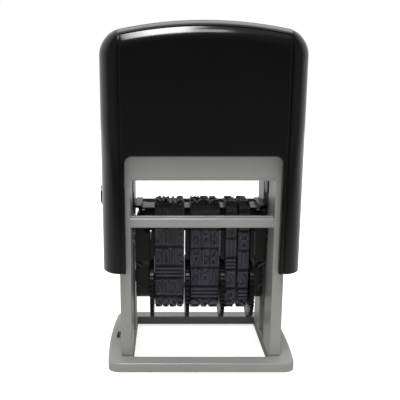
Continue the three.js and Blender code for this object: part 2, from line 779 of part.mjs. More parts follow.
// Setting wheel: a hub that fills its belt's lower loop and a toothed flange beside the belt.
function settingWheel(belt) {
  const rim = new THREE.Shape();
  const root = wheelRadius - wheelToothDepth;
  const radii = [root, wheelRadius, wheelRadius, root];
  rim.moveTo(root, wheelHeight);
  for (let tooth = 0; tooth < wheelTeeth; tooth += 1) {
    toothShares.forEach((share, i) => {
      const turn = (2 * Math.PI * (tooth + share)) / wheelTeeth;
      rim.lineTo(radii[i] * Math.cos(turn), wheelHeight + radii[i] * Math.sin(turn));
    });
  }
  const before = belt.flangeSide < 0;
  const flangeNear = flangeStart(belt);
  const flange = prismX(rim, flangeNear, flangeNear + wheelThickness);
  const hub = rodX(
    hubRadius,
    before ? flangeNear + wheelThickness / 2 : belt.left,
    before ? belt.right : flangeNear + wheelThickness / 2,
    wheelHeight,
  );
  const reach = belt.right - belt.left + wheelThickness + beltGap + overrun;
  const bore = rodX(wheelAxleRadius + clearance, belt.left - reach, belt.right + reach, wheelHeight);
  return flange.add(hub).subtract(bore);
}

// A belt's loop in y and z: round below at the wheel's hub, flat on top over the platen.
function beltOutline(halfDepth, top, corner) {
  const shape = new THREE.Shape();
  shape.absarc(0, wheelHeight, halfDepth, Math.PI, 2 * Math.PI);
  shape.absarc(halfDepth - corner, top - corner, corner, 0, Math.PI / 2);
  shape.absarc(-halfDepth + corner, top - corner, corner, Math.PI / 2, Math.PI);
  return shape;
}

// The point at a distance along the belt's outer surface, from the middle of its top towards -Y.
function beltPoint(distance) {
  const flat = beltHalfDepth - beltCorner;
  const bend = (Math.PI / 2) * beltCorner;
  const side = beltTop - beltCorner - wheelHeight;
  const loop = Math.PI * beltHalfDepth;
  let left = distance;
  if (left < flat) return { y: -left, z: beltTop, turn: 0 };
  left -= flat;
  if (left < bend) {
    const turn = left / beltCorner;
    return {
      y: -flat - beltCorner * Math.sin(turn),
      z: beltTop - beltCorner + beltCorner * Math.cos(turn),
      turn,
    };
  }
  left -= bend;
  if (left < side) return { y: -beltHalfDepth, z: beltTop - beltCorner - left, turn: Math.PI / 2 };
  left -= side;
  if (left < loop) {
    const turn = Math.PI / 2 + left / beltHalfDepth;
    return { y: -beltHalfDepth * Math.sin(turn), z: wheelHeight + beltHalfDepth * Math.cos(turn), turn };
  }
  left -= loop;
  if (left < side) return { y: beltHalfDepth, z: wheelHeight + left, turn: 1.5 * Math.PI };
  left -= side;
  if (left < bend) {
    const turn = 1.5 * Math.PI + left / beltCorner;
    return {
      y: flat - beltCorner * Math.sin(turn),
      z: beltTop - beltCorner + beltCorner * Math.cos(turn),
      turn,
    };
  }
  left -= bend;
  return { y: flat - left, z: beltTop, turn: 2 * Math.PI };
}

// Belt: a closed rubber band with a raised character block in each row, parted by grooves.
function dateBelt(belt) {
  const band = prismX(beltOutline(beltHalfDepth, beltTop, beltCorner), belt.left, belt.right);
  const hole = prismX(
    beltOutline(beltInnerHalfDepth, beltInnerTop, beltCorner - beltThickness),
    belt.left - overrun,
    belt.right + overrun,
  );
  let characters = prismX(
    beltOutline(beltHalfDepth + characterHeight, beltTop + characterHeight, beltCorner + characterHeight),
    belt.left + beltGap / 2,
    belt.right - beltGap / 2,
  );
  const length = 2 * (beltHalfDepth - beltCorner) + Math.PI * (beltCorner + beltHalfDepth)
    + 2 * (beltTop - beltCorner - wheelHeight);
  const pitch = length / beltRows;
  for (let row = 0; row < beltRows; row += 1) {
    const { y, z, turn } = beltPoint((row + belt.rowShiftShare) * pitch);
    const groove = new THREE.BoxGeometry(
      belt.right - belt.left + overrun,
      pitch * (1 - beltRowShare),
      2 * characterHeight,
    );
    groove.translate(0, 0, characterHeight);
    groove.rotateX(turn);
    groove.translate((belt.left + belt.right) / 2, y, z);
    characters = characters.subtract(solidOf(groove));
  }
  return band.add(characters).subtract(hole);
}

const stamp = new THREE.Group();

// Adds one named sub-part with a material of its own.
function place(name, geometry, look) {
  const mesh = new THREE.Mesh(geometry, new THREE.MeshStandardMaterial(look));
  mesh.name = name;
  stamp.add(mesh);
}

place('base_plate', geometryOf(basePlate()), greyPlastic);
place('frame', geometryOf(frameBody()), greyPlastic);
place('cap', geometryOf(capShell()), blackGloss);
place('pad_cartridge', geometryOf(padCartridge()), greyPlastic);
place('ink_pad', geometryOf(inkPad()), padFoam);
for (const [label, side] of [['left', -1], ['right', 1]]) {
  place(`pivot_pin_${label}`, geometryOf(pivotPin(side)), steel);
  place(`retaining_leg_${label}`, geometryOf(retainingLeg(side)), darkPlastic);
  place(`lock_button_${label}`, geometryOf(lockButton(side)), blackPlastic);
  place(`return_spring_${label}`, springGeometry(side), steel);
}
place('cradle', geometryOf(cradleBody()), blackPlastic);
place('platen', geometryOf(platen()), blackPlastic);
place('wheel_axle', geometryOf(wheelAxle()), steel);
for (const belt of laidOut(dateBelts)) {
  place(`${belt.name}_belt`, geometryOf(dateBelt(belt)), beltRubber);
  place(`${belt.name}_wheel`, geometryOf(settingWheel(belt)), blackPlastic);
}

export default stamp;
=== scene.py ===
"""A self-inking date stamp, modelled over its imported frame.

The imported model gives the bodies, joints and solids. This script models each visible piece with
Blender's own tools, gives it its finish, and sets up the studio. Sizes are in millimetres.
"""

import logging
import math
from dataclasses import dataclass, field
from enum import Enum
from typing import Callable

import bmesh
import bpy
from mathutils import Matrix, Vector
from mathutils.kdtree import KDTree

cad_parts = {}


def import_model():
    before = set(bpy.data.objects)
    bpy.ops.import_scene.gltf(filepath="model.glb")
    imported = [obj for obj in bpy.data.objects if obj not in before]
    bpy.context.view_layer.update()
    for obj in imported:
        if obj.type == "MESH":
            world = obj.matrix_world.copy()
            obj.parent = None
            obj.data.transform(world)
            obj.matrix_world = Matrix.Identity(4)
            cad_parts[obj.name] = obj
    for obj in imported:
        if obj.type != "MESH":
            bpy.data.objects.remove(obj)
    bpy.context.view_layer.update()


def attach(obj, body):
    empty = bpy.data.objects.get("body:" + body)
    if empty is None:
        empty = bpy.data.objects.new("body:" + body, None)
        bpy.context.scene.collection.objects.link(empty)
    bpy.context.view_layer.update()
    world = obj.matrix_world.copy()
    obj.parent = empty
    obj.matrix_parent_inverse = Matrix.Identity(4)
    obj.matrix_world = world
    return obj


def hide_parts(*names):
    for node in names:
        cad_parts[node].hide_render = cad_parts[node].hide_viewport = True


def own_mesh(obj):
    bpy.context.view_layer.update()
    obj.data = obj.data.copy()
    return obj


MM = 0.001
# How near two places count as one, in millimetres: as placed, and after other work on them.
SAME = 0.01
ABOUT = 0.02
WHITE = (1.0, 1.0, 1.0, 1.0)
LOG = logging.getLogger("date_stamp")

Point = tuple[float, float, float]
Flat = tuple[float, float]
Colour = tuple[float, float, float]
Column = tuple[float, float, float, float, float]


class Axis(Enum):
    """The axis that an outline is pulled along, or a rod lies on."""

    X = "x"
    Y = "y"
    Z = "z"

    def at(self, along: float, a: float, b: float) -> Point:
        """Place a flat point at a distance along the axis.

        Args:
            along: The distance along the axis.
            a: The flat point's first coordinate.
            b: Its second coordinate.

        Returns:
            The point in space.
        """
        places = [a, b]
        places.insert("xyz".index(self.value), along)
        return tuple(places)


class Body(Enum):
    """The bodies that the pieces ride on."""

    FRAME = "frame_body"
    CAP = "cap_body"
    CRADLE = "cradle_body"
    CARTRIDGE = "cartridge_body"


class Elements(Enum):
    """The elements of a mesh that are picked in edit mode, in Blender's order."""

    VERT = "VERT"
    EDGE = "EDGE"
    FACE = "FACE"


class Shows(Enum):
    """Where a light shows: everywhere, in gloss alone or on matt faces alone."""

    ALL = "all"
    GLOSS = "gloss"
    MATT = "matt"


def clear_selection() -> None:
    """Deselect every object, so that an operator acts on one piece alone."""
    bpy.ops.object.select_all(action="DESELECT")


def mirrored(side: int, a: float, b: float) -> list[float]:
    """Give two places on one side, -1 or 1, in rising order."""
    return sorted((side * a, side * b))


def arc(centre: Flat, radius: float, start: float, end: float, steps: int) -> list[Flat]:
    """List the points of a circular arc.

    Args:
        centre: The arc's centre.
        radius: Its radius.
        start: Its first angle in degrees.
        end: Its last angle in degrees.
        steps: The number of chords.

    Returns:
        The points in order, both ends included.
    """
    turns = [math.radians(start + (end - start) * i / steps) for i in range(steps + 1)]
    return [(centre[0] + radius * math.cos(t), centre[1] + radius * math.sin(t)) for t in turns]


def quadratic(first: Flat, handle: Flat, last: Flat, steps: int) -> list[Flat]:
    """List the points of a quadratic curve, without its first one.

    Args:
        first: The curve's start.
        handle: Its control point.
        last: Its end.
        steps: The number of chords.

    Returns:
        The points after the start, in order.
    """
    points = []
    for i in range(1, steps + 1):
        t = i / steps
        weights = ((1 - t) ** 2, 2 * t * (1 - t), t**2)
        points.append(tuple(
            sum(w * p[k] for w, p in zip(weights, (first, handle, last))) for k in (0, 1)
        ))
    return points


class Piece:
    """One mesh object that is shaped with Blender's operators, in millimetres."""

    def __init__(self, shape: bpy.types.Object, name: str) -> None:
        """Take over an object and name it and its mesh."""
        self.shape = shape
        self.shape.name = name
        self.shape.data.name = name

    @classmethod
    def block(cls, name: str, low: Point, high: Point) -> "Piece":
        """Add a block between two corners.

        Args:
            name: The piece's name.
            low: Its lowest corner.
            high: Its highest corner.

        Returns:
            The new piece.
        """
        clear_selection()
        centre = [(a + b) / 2 * MM for a, b in zip(low, high)]
        bpy.ops.mesh.primitive_cube_add(size=1, location=centre)
        shape = bpy.context.active_object
        shape.scale = [(b - a) * MM for a, b in zip(low, high)]
        bpy.ops.object.transform_apply(location=True, rotation=True, scale=True)
        return cls(shape, name)

    @classmethod
    def slab(cls, name: str, side: int, across: Flat, deep: float, up: Flat) -> "Piece":
        """Add a block on one side that reaches as far to the front as to the back.

        Args:
            name: The piece's name.
            side: -1 for the left or 1 for the right.
            across: How far its near and far face lie from the middle.
            deep: Its half depth.
            up: Its lowest and highest place.

        Returns:
            The new piece.
        """
        near, far = mirrored(side, *across)
        return cls.block(name, (near, -deep, up[0]), (far, deep, up[1]))

    @classmethod
    def rod(cls, name: str, axis: Axis, radius: float, start: Point, length: float,
            sides: int = 48) -> "Piece":
        """Add a round bar.

        Args:
            name: The piece's name.
            axis: The axis that it lies along.
            radius: Its radius.
            start: The middle of its end with the lower place on that axis.
            length: Its length.
            sides: The number of its side faces.

        Returns:
            The new piece.
        """
        clear_selection()
        middle = [p * MM for p in start]
        index = "xyz".index(axis.value)
        middle[index] += length / 2 * MM
        turned = {Axis.X: (0, math.pi / 2, 0), Axis.Y: (math.pi / 2, 0, 0), Axis.Z: (0, 0, 0)}
        bpy.ops.mesh.primitive_cylinder_add(
            vertices=sides, radius=radius * MM, depth=length * MM, location=middle,
            rotation=turned[axis])
        bpy.ops.object.transform_apply(location=True, rotation=True, scale=True)
        return cls(bpy.context.active_object, name)

    @classmethod
    def pin(cls, name: str, side: int, radius: float, ends: Flat, height: float,
            sides: int = 32) -> "Piece":
        """Add a round bar that lies across, on one side.

        Args:
            name: The piece's name.
            side: -1 for the left or 1 for the right.
            radius: Its radius.
            ends: How far its near and far end lie from the middle.
            height: The height of its axis.
            sides: The number of its side faces.

        Returns:
            The new piece.
        """
        start = mirrored(side, *ends)[0]
        return cls.rod(name, Axis.X, radius, (start, 0, height), ends[1] - ends[0], sides)

    @classmethod
    def prism(cls, name: str, axis: Axis, outline: list[Flat], near: float, far: float) -> "Piece":
        """Pull a closed outline along an axis.

        Args:
            name: The piece's name.
            axis: The axis that the outline is pulled along.
            outline: The outline's corners in order.
            near: Where it starts on the axis.
            far: Where it ends.

        Returns:
            The new piece, with its faces pointing out.
        """
        clear_selection()
        bpy.ops.mesh.primitive_circle_add(vertices=len(outline), radius=MM, fill_type="NGON")
        piece = cls(bpy.context.active_object, name)
        for vertex, (a, b) in zip(piece.shape.data.vertices, outline):
            vertex.co = Vector(axis.at(near, a, b)) * MM
        piece.open(Elements.FACE, "SELECT")
        reach = Vector(axis.at(far - near, 0, 0)) * MM
        bpy.ops.mesh.extrude_region_move(TRANSFORM_OT_translate={"value": reach})
        return piece.close(recalculate=True)

    @classmethod
    def loft(cls, name: str, rings: list[list[Point]], ends: bool = False) -> "Piece":
        """Pull a closed ring of edges through a list of rings.

        Args:
            name: The piece's name.
            rings: The rings in order, each with the same number of points.
            ends: Whether the first and the last ring are filled.

        Returns:
            The new piece, with its faces pointing out.
        """
        clear_selection()
        fill = "NGON" if ends else "NOTHING"
        bpy.ops.mesh.primitive_circle_add(vertices=len(rings[0]), radius=MM, fill_type=fill)
        piece = cls(bpy.context.active_object, name)
        for vertex, point in zip(piece.shape.data.vertices, rings[0]):
            vertex.co = Vector(point) * MM
        piece.open(Elements.EDGE, "SELECT")
        for before, after in zip(rings, rings[1:]):
            if ends:
                bpy.ops.mesh.extrude_region_move()
            else:
                bpy.ops.mesh.extrude_edges_move()
            places = KDTree(len(before))
            for index, point in enumerate(before):
                places.insert(Vector(point) * MM, index)
            places.balance()
            mesh = bmesh.from_edit_mesh(piece.shape.data)
            for vertex in mesh.verts:
                if vertex.select:
                    vertex.co = Vector(after[places.find(vertex.co)[1]]) * MM
            bmesh.update_edit_mesh(piece.shape.data)
        return piece.close(recalculate=True)

    def activate(self) -> None:
        """Make this the only selected object and the active one."""
        clear_selection()
        self.shape.select_set(True)
        bpy.context.view_layer.objects.active = self.shape

    def open(self, kind: Elements, action: str = "DESELECT") -> None:
        """Enter edit mode on this piece.

        Args:
            kind: The elements to pick.
            action: SELECT or DESELECT, for what is picked at first.
        """
        self.activate()
        bpy.ops.object.mode_set(mode="EDIT")
        bpy.context.tool_settings.mesh_select_mode = tuple(k is kind for k in Elements)
        bpy.ops.mesh.select_all(action=action)

    def close(self, recalculate: bool = False) -> "Piece":
        """Leave edit mode, with the normals turned out first if asked.

        Args:
            recalculate: Whether the normals are turned out.

        Returns:
            This piece.
        """
        if recalculate:
            bpy.ops.mesh.select_all(action="SELECT")
            bpy.ops.mesh.normals_make_consistent(inside=False)
        bpy.ops.object.mode_set(mode="OBJECT")
        return self

    def pick(self, kind: Elements, wanted: Callable[[Vector, Vector], bool]) -> bool:
        """Enter edit mode with some faces or edges selected.

        Args:
            kind: Faces or edges.
            wanted: Takes a face's middle and normal, or both ends of an edge, in millimetres.

        Returns:
            Whether anything is selected.
        """
        self.open(kind)
        mesh = bmesh.from_edit_mesh(self.shape.data)
        if kind is Elements.FACE:
            found = [(face, face.calc_center_median() / MM, face.normal) for face in mesh.faces]
        else:
            found = [(edge, *(end.co / MM for end in edge.verts)) for edge in mesh.edges]
        for element, first, second in found:
            element.select_set(wanted(first, second))
        bmesh.update_edit_mesh(self.shape.data)
        return any(element.select for element, _, _ in found)

    def weld_points(self, reach: float = 0.002) -> "Piece":
        """Merge the points within a reach, and stay in edit mode with everything selected.

        Args:
            reach: The reach.

        Returns:
            This piece.
        """
        self.open(Elements.VERT, "SELECT")
        bpy.ops.mesh.remove_doubles(threshold=reach * MM)
        return self

    def bevel_edges(self, width: float, segments: int,
                    wanted: Callable[[Vector, Vector], bool]) -> "Piece":
        """Bevel the edges that a test on both of their ends accepts.

        Args:
            width: The bevel's width.
            segments: The number of its faces.
            wanted: Takes both ends of an edge in millimetres.

        Returns:
            This piece.
        """
        if self.pick(Elements.EDGE, wanted):
            bpy.ops.mesh.bevel(offset=width * MM, segments=segments, affect="EDGES")
        return self.close()

    def modify(self, kind: str, **settings: object) -> "Piece":
        """Add a modifier of a kind, set it and apply it.

        Args:
            kind: The modifier's type.
            settings: Its settings by name.

        Returns:
            This piece.
        """
        self.activate()
        modifier = self.shape.modifiers.new(kind.title(), kind)
        for key, value in settings.items():
            setattr(modifier, key, value)
        bpy.ops.object.modifier_apply(modifier=modifier.name)
        return self

    def merge(self, *others: "Piece") -> "Piece":
        """Join other pieces to this one as loose parts.

        Args:
            others: The pieces to join.

        Returns:
            This piece.
        """
        self.activate()
        for other in others:
            other.shape.select_set(True)
        bpy.ops.object.join()
        return self

    def combine(self, how: str, *tools: "Piece") -> "Piece":
        """Cut or weld this piece with others, which are used up.

        Args:
            how: DIFFERENCE or UNION.
            tools: The pieces to cut or weld with.

        Returns:
            This piece.
        """
        for tool in tools:
            self.modify("BOOLEAN", operation=how, object=tool.shape, solver="EXACT")
            bpy.data.objects.remove(tool.shape, do_unlink=True)
        return self

    def cut(self, *tools: "Piece") -> "Piece":
        """Cut other pieces out of this one."""
        return self.combine("DIFFERENCE", *tools)

    def weld(self, *tools: "Piece") -> "Piece":
        """Weld other pieces to this one."""
        return self.combine("UNION", *tools)

    def tidy(self) -> "Piece":
        """Merge doubled points and dissolve the edges between level faces."""
        self.weld_points()
        bpy.ops.mesh.dissolve_limited(angle_limit=math.radians(1))
        return self.close()

    def round_off(self, width: float, segments: int = 2, angle: float = 35) -> "Piece":
        """Bevel every edge that is sharper than an angle in degrees."""
        self.tidy()
        return self.modify(
            "BEVEL", width=width * MM, segments=segments, limit_method="ANGLE",
            angle_limit=math.radians(angle), use_clamp_overlap=True)

    def smooth(self, angle: float = 35) -> "Piece":
        """Shade smooth, but for edges sharper than an angle in degrees."""
        self.activate()
        bpy.ops.object.shade_smooth_by_angle(angle=math.radians(angle))
        return self

    def smooth_level(self, angle: float = 40) -> "Piece":
        """Shade smooth by an angle in degrees, with the large faces kept level."""
        self.smooth(angle)
        return self.modify("WEIGHTED_NORMAL", keep_sharp=True, weight=80)

    def finish(self, look: "Finish", body: str, *nodes: str) -> "Piece":
        """Give the piece its finish and body, and let it stand for its CAD nodes.

        Args:
            look: The finish.
            body: The name of the body that it rides on.
            nodes: The CAD nodes that it stands for.

        Returns:
            This piece.
        """
        self.shape.data.materials.clear()
        self.shape.data.materials.append(look.material())
        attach(self.shape, body)
        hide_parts(*nodes)
        LOG.info("%s: %d faces, on %s", self.shape.name, len(self.shape.data.polygons), body)
        return self


class Tree:
    """The node tree of a material or world, built with a call for each node."""

    def __init__(self, owner: bpy.types.ID) -> None:
        """Turn the owner's nodes on."""
        owner.use_nodes = True
        self.nodes, self.links = owner.node_tree.nodes, owner.node_tree.links

    def feed(self, node: bpy.types.Node, inputs: dict[str | int, object]) -> bpy.types.Node:
        """Set some inputs of a node, or link those that a socket is given for.

        Args:
            node: The node.
            inputs: Each input's label or number, with its value or its socket.

        Returns:
            The node.
        """
        for label, value in inputs.items():
            if isinstance(value, bpy.types.NodeSocket):
                self.links.new(value, node.inputs[label])
            else:
                node.inputs[label].default_value = value
        return node

    def add(self, kind: str, inputs: dict[str | int, object] | None = None) -> bpy.types.Node:
        """Add a node, and set or link some of its inputs."""
        return self.feed(self.nodes.new(kind), inputs or {})


@dataclass(frozen=True)
class Finish:
    """A moulded surface: its colour range, its sheen and its fine relief."""

    name: str
    slot: str
    dark: Colour
    light: Colour
    smooth_spots: float
    rough_spots: float
    mottle_scale: float
    grain_scale: float
    grain_height: float
    metallic: float = 0.0
    ior: float = 1.5
    stretch: Point = (1.0, 1.0, 1.0)
    mottle_detail: float = 3.0
    grain_detail: float = 4.0
    colour_span: Flat = (0.3, 0.7)
    sheen_span: Flat = (0.35, 0.65)

    def relief(self, tree: Tree, place: bpy.types.NodeSocket) -> bpy.types.NodeSocket:
        """Give the height pattern of the surface at a place.

        Args:
            tree: The material's tree.
            place: The coordinates.

        Returns:
            The height.
        """
        return tree.add("ShaderNodeTexNoise", {
            "Vector": place, "Scale": self.grain_scale, "Detail": self.grain_detail,
        }).outputs["Fac"]

    def material(self) -> bpy.types.Material:
        """Make the finish's material, or give the one made before.

        Returns:
            A node material on Object coordinates.
        """
        made = bpy.data.materials.get(self.name)
        if made:
            return made
        made = bpy.data.materials.new(self.name)
        tree = Tree(made)
        coordinates = tree.add("ShaderNodeTexCoord")
        place = tree.add("ShaderNodeMapping", {
            "Vector": coordinates.outputs["Object"], "Scale": self.stretch,
        }).outputs["Vector"]
        mottle = tree.add("ShaderNodeTexNoise", {
            "Vector": place, "Scale": self.mottle_scale, "Detail": self.mottle_detail,
        }).outputs["Fac"]
        ramp = tree.add("ShaderNodeValToRGB", {"Fac": mottle})
        for element, position, colour in zip(
                ramp.color_ramp.elements, self.colour_span, (self.dark, self.light)):
            element.position = position
            element.color = (*colour, 1.0)
        sheen = tree.add("ShaderNodeMapRange", {
            "Value": mottle, "From Min": self.sheen_span[0], "From Max": self.sheen_span[1],
            "To Min": self.smooth_spots, "To Max": self.rough_spots})
        bump = tree.add("ShaderNodeBump", {
            "Height": self.relief(tree, place), "Strength": 1.0,
            "Distance": self.grain_height * MM})
        tree.feed(tree.nodes["Principled BSDF"], {
            "Base Color": ramp.outputs["Color"], "Roughness": sheen.outputs["Result"],
            "Normal": bump.outputs["Normal"], "Metallic": self.metallic, "IOR": self.ior})
        return made


@dataclass(frozen=True)
class PorousFinish(Finish):
    """A soaked foam or felt, whose relief is open pores."""

    def relief(self, tree: Tree, place: bpy.types.NodeSocket) -> bpy.types.NodeSocket:
        """Give the height pattern of the pores at a place."""
        return tree.add("ShaderNodeTexVoronoi", {
            "Vector": place, "Scale": self.grain_scale}).outputs["Distance"]


GREY_PLASTIC = Finish(
    name="grey_moulding", slot="grey_plastic", dark=(0.312, 0.313, 0.296),
    light=(0.342, 0.343, 0.325), smooth_spots=0.3, rough_spots=0.42, mottle_scale=90,
    grain_scale=5200, grain_height=0.006)
BLACK_GLOSS = Finish(
    name="black_polish", slot="black_gloss", dark=(0.0014, 0.0014, 0.0013),
    light=(0.0022, 0.0022, 0.0020), smooth_spots=0.12, rough_spots=0.15, mottle_scale=60,
    grain_scale=900, grain_height=0.0005, ior=1.55)
BLACK_PLASTIC = Finish(
    name="black_moulding", slot="black_plastic", dark=(0.0042, 0.0048, 0.0036),
    light=(0.0072, 0.0080, 0.0064), smooth_spots=0.17, rough_spots=0.26, mottle_scale=160,
    grain_scale=4800, grain_height=0.004, ior=1.45)
WHEEL_PLASTIC = Finish(
    name="wheel_moulding", slot="black_plastic", dark=(0.0060, 0.0067, 0.0053),
    light=(0.0095, 0.0104, 0.0085), smooth_spots=0.24, rough_spots=0.34, mottle_scale=160,
    grain_scale=4800, grain_height=0.005, ior=1.42)
DARK_PLASTIC = Finish(
    name="dark_moulding", slot="dark_plastic", dark=(0.04, 0.04, 0.037),
    light=(0.055, 0.055, 0.051), smooth_spots=0.35, rough_spots=0.5, mottle_scale=160,
    grain_scale=4800, grain_height=0.006)
# Painted shade: a darkened grey for the thin sheet inside the plate's opening, standing in for the
# shade that falls there.
PAINTED_SHADE_PLASTIC = Finish(
    name="painted_shade_moulding", slot="grey_plastic", dark=(0.115, 0.115, 0.106),
    light=(0.14, 0.14, 0.13), smooth_spots=0.4, rough_spots=0.55, mottle_scale=120,
    grain_scale=4800, grain_height=0.006)
BELT_RUBBER = Finish(
    name="date_rubber", slot="belt_rubber", dark=(0.034, 0.035, 0.046),
    light=(0.058, 0.060, 0.076), smooth_spots=0.3, rough_spots=0.45, mottle_scale=420,
    grain_scale=3800, grain_height=0.02)
PAD_FOAM = PorousFinish(
    name="inked_foam", slot="pad_foam", dark=(0.008, 0.009, 0.018),
    light=(0.022, 0.024, 0.042), smooth_spots=0.8, rough_spots=0.95, mottle_scale=260,
    grain_scale=2400, grain_height=0.12)
STEEL = Finish(
    name="drawn_steel", slot="steel", dark=(0.42, 0.42, 0.43), light=(0.58, 0.58, 0.59),
    smooth_spots=0.18, rough_spots=0.32, mottle_scale=300, grain_scale=2600,
    grain_height=0.004, metallic=1.0, stretch=(0.2, 1.0, 1.0))


@dataclass
class BasePlate:
    """The grey ring that the frame stands on, with a thin dark sheet of painted shade on its
    opening's walls.
    """

    half_width: float = 19.6
    half_depth: float = 13.2
    thickness: float = 2.0
    corner: float = 2.6
    end_bulge: float = 0.5
    edge_fillet: float = 0.45
    opening: Flat = (14.1, 10.15)
    opening_bevel: float = 0.15
    slit: Flat = (3.2, 0.8)
    slit_offset: float = 17.85
    slit_depth: float = 1.2
    # The sheet of painted shade on the opening's walls: its thickness, and its lowest and highest
    # place.
    shade_sheet: Point = (0.06, 0.1, 1.75)
    foot_bevel: float = 0.12

    def outline(self) -> list[Flat]:
        """List the plate's outline from above, with full corners and bowed ends.

        Returns:
            The corners in x and y.
        """
        end = self.half_width - self.end_bulge
        deep, corner = self.half_depth, self.corner
        points = []
        for sign in (1, -1):
            start = (sign * (end - corner), -sign * deep)
            first = (sign * end, -sign * (deep - corner))
            second = (sign * end, sign * (deep - corner))
            last = (sign * (end - corner), sign * deep)
            points.append(start)
            points += quadratic(start, (sign * end, -sign * deep), first, 8)
            points += quadratic(first, (sign * (end + 2 * self.end_bulge), 0), second, 12)
            points += quadratic(second, (sign * end, sign * deep), last, 8)
        return points

    def build(self) -> None:
        """Model and dress the plate."""
        top = self.thickness
        plate = Piece.prism("base_plate_ring", Axis.Z, self.outline(), 0, top)
        plate.bevel_edges(self.edge_fillet, 4, lambda a, b: min(a.z, b.z) > top - SAME)
        plate.bevel_edges(self.foot_bevel, 2, lambda a, b: max(a.z, b.z) < SAME)
        wide, deep = self.opening
        plate.cut(Piece.block("opening", (-wide, -deep, -1), (wide, deep, top + 1)))
        long, narrow = self.slit
        for side in (-1, 1):
            near = side * self.slit_offset - narrow / 2
            plate.cut(Piece.block("slit", (near, -long / 2, top - self.slit_depth),
                                  (near + narrow, long / 2, top + 1)))
        plate.tidy().bevel_edges(self.opening_bevel, 2, self.at_rim)
        plate.smooth_level().finish(GREY_PLASTIC, Body.FRAME.value, "base_plate")
        self.opening_painted_shade()

    def at_rim(self, a: Vector, b: Vector) -> bool:
        """Tell whether an edge lies on the opening's upper rim.

        Args:
            a: One end of the edge.
            b: The other end.

        Returns:
            Whether it does.
        """
        wide, deep = self.opening
        return all(abs(p.x) < wide + ABOUT and abs(p.y) < deep + ABOUT
                   and p.z > self.thickness - ABOUT for p in (a, b))

    def opening_painted_shade(self) -> None:
        """Model and dress a thin dark sheet on the opening's walls, painted shade standing in for
        the shade that falls there.
        """
        wide, deep = self.opening
        thin, low, high = self.shade_sheet
        shade_sheet = Piece.block("base_plate_painted_shade", (-wide, -deep, low), (wide, deep, high))
        shade_sheet.cut(Piece.block("inside", (-wide + thin, -deep + thin, low - 1),
                               (wide - thin, deep - thin, high + 1)))
        shade_sheet.tidy().smooth().finish(PAINTED_SHADE_PLASTIC, Body.FRAME.value, "base_plate")


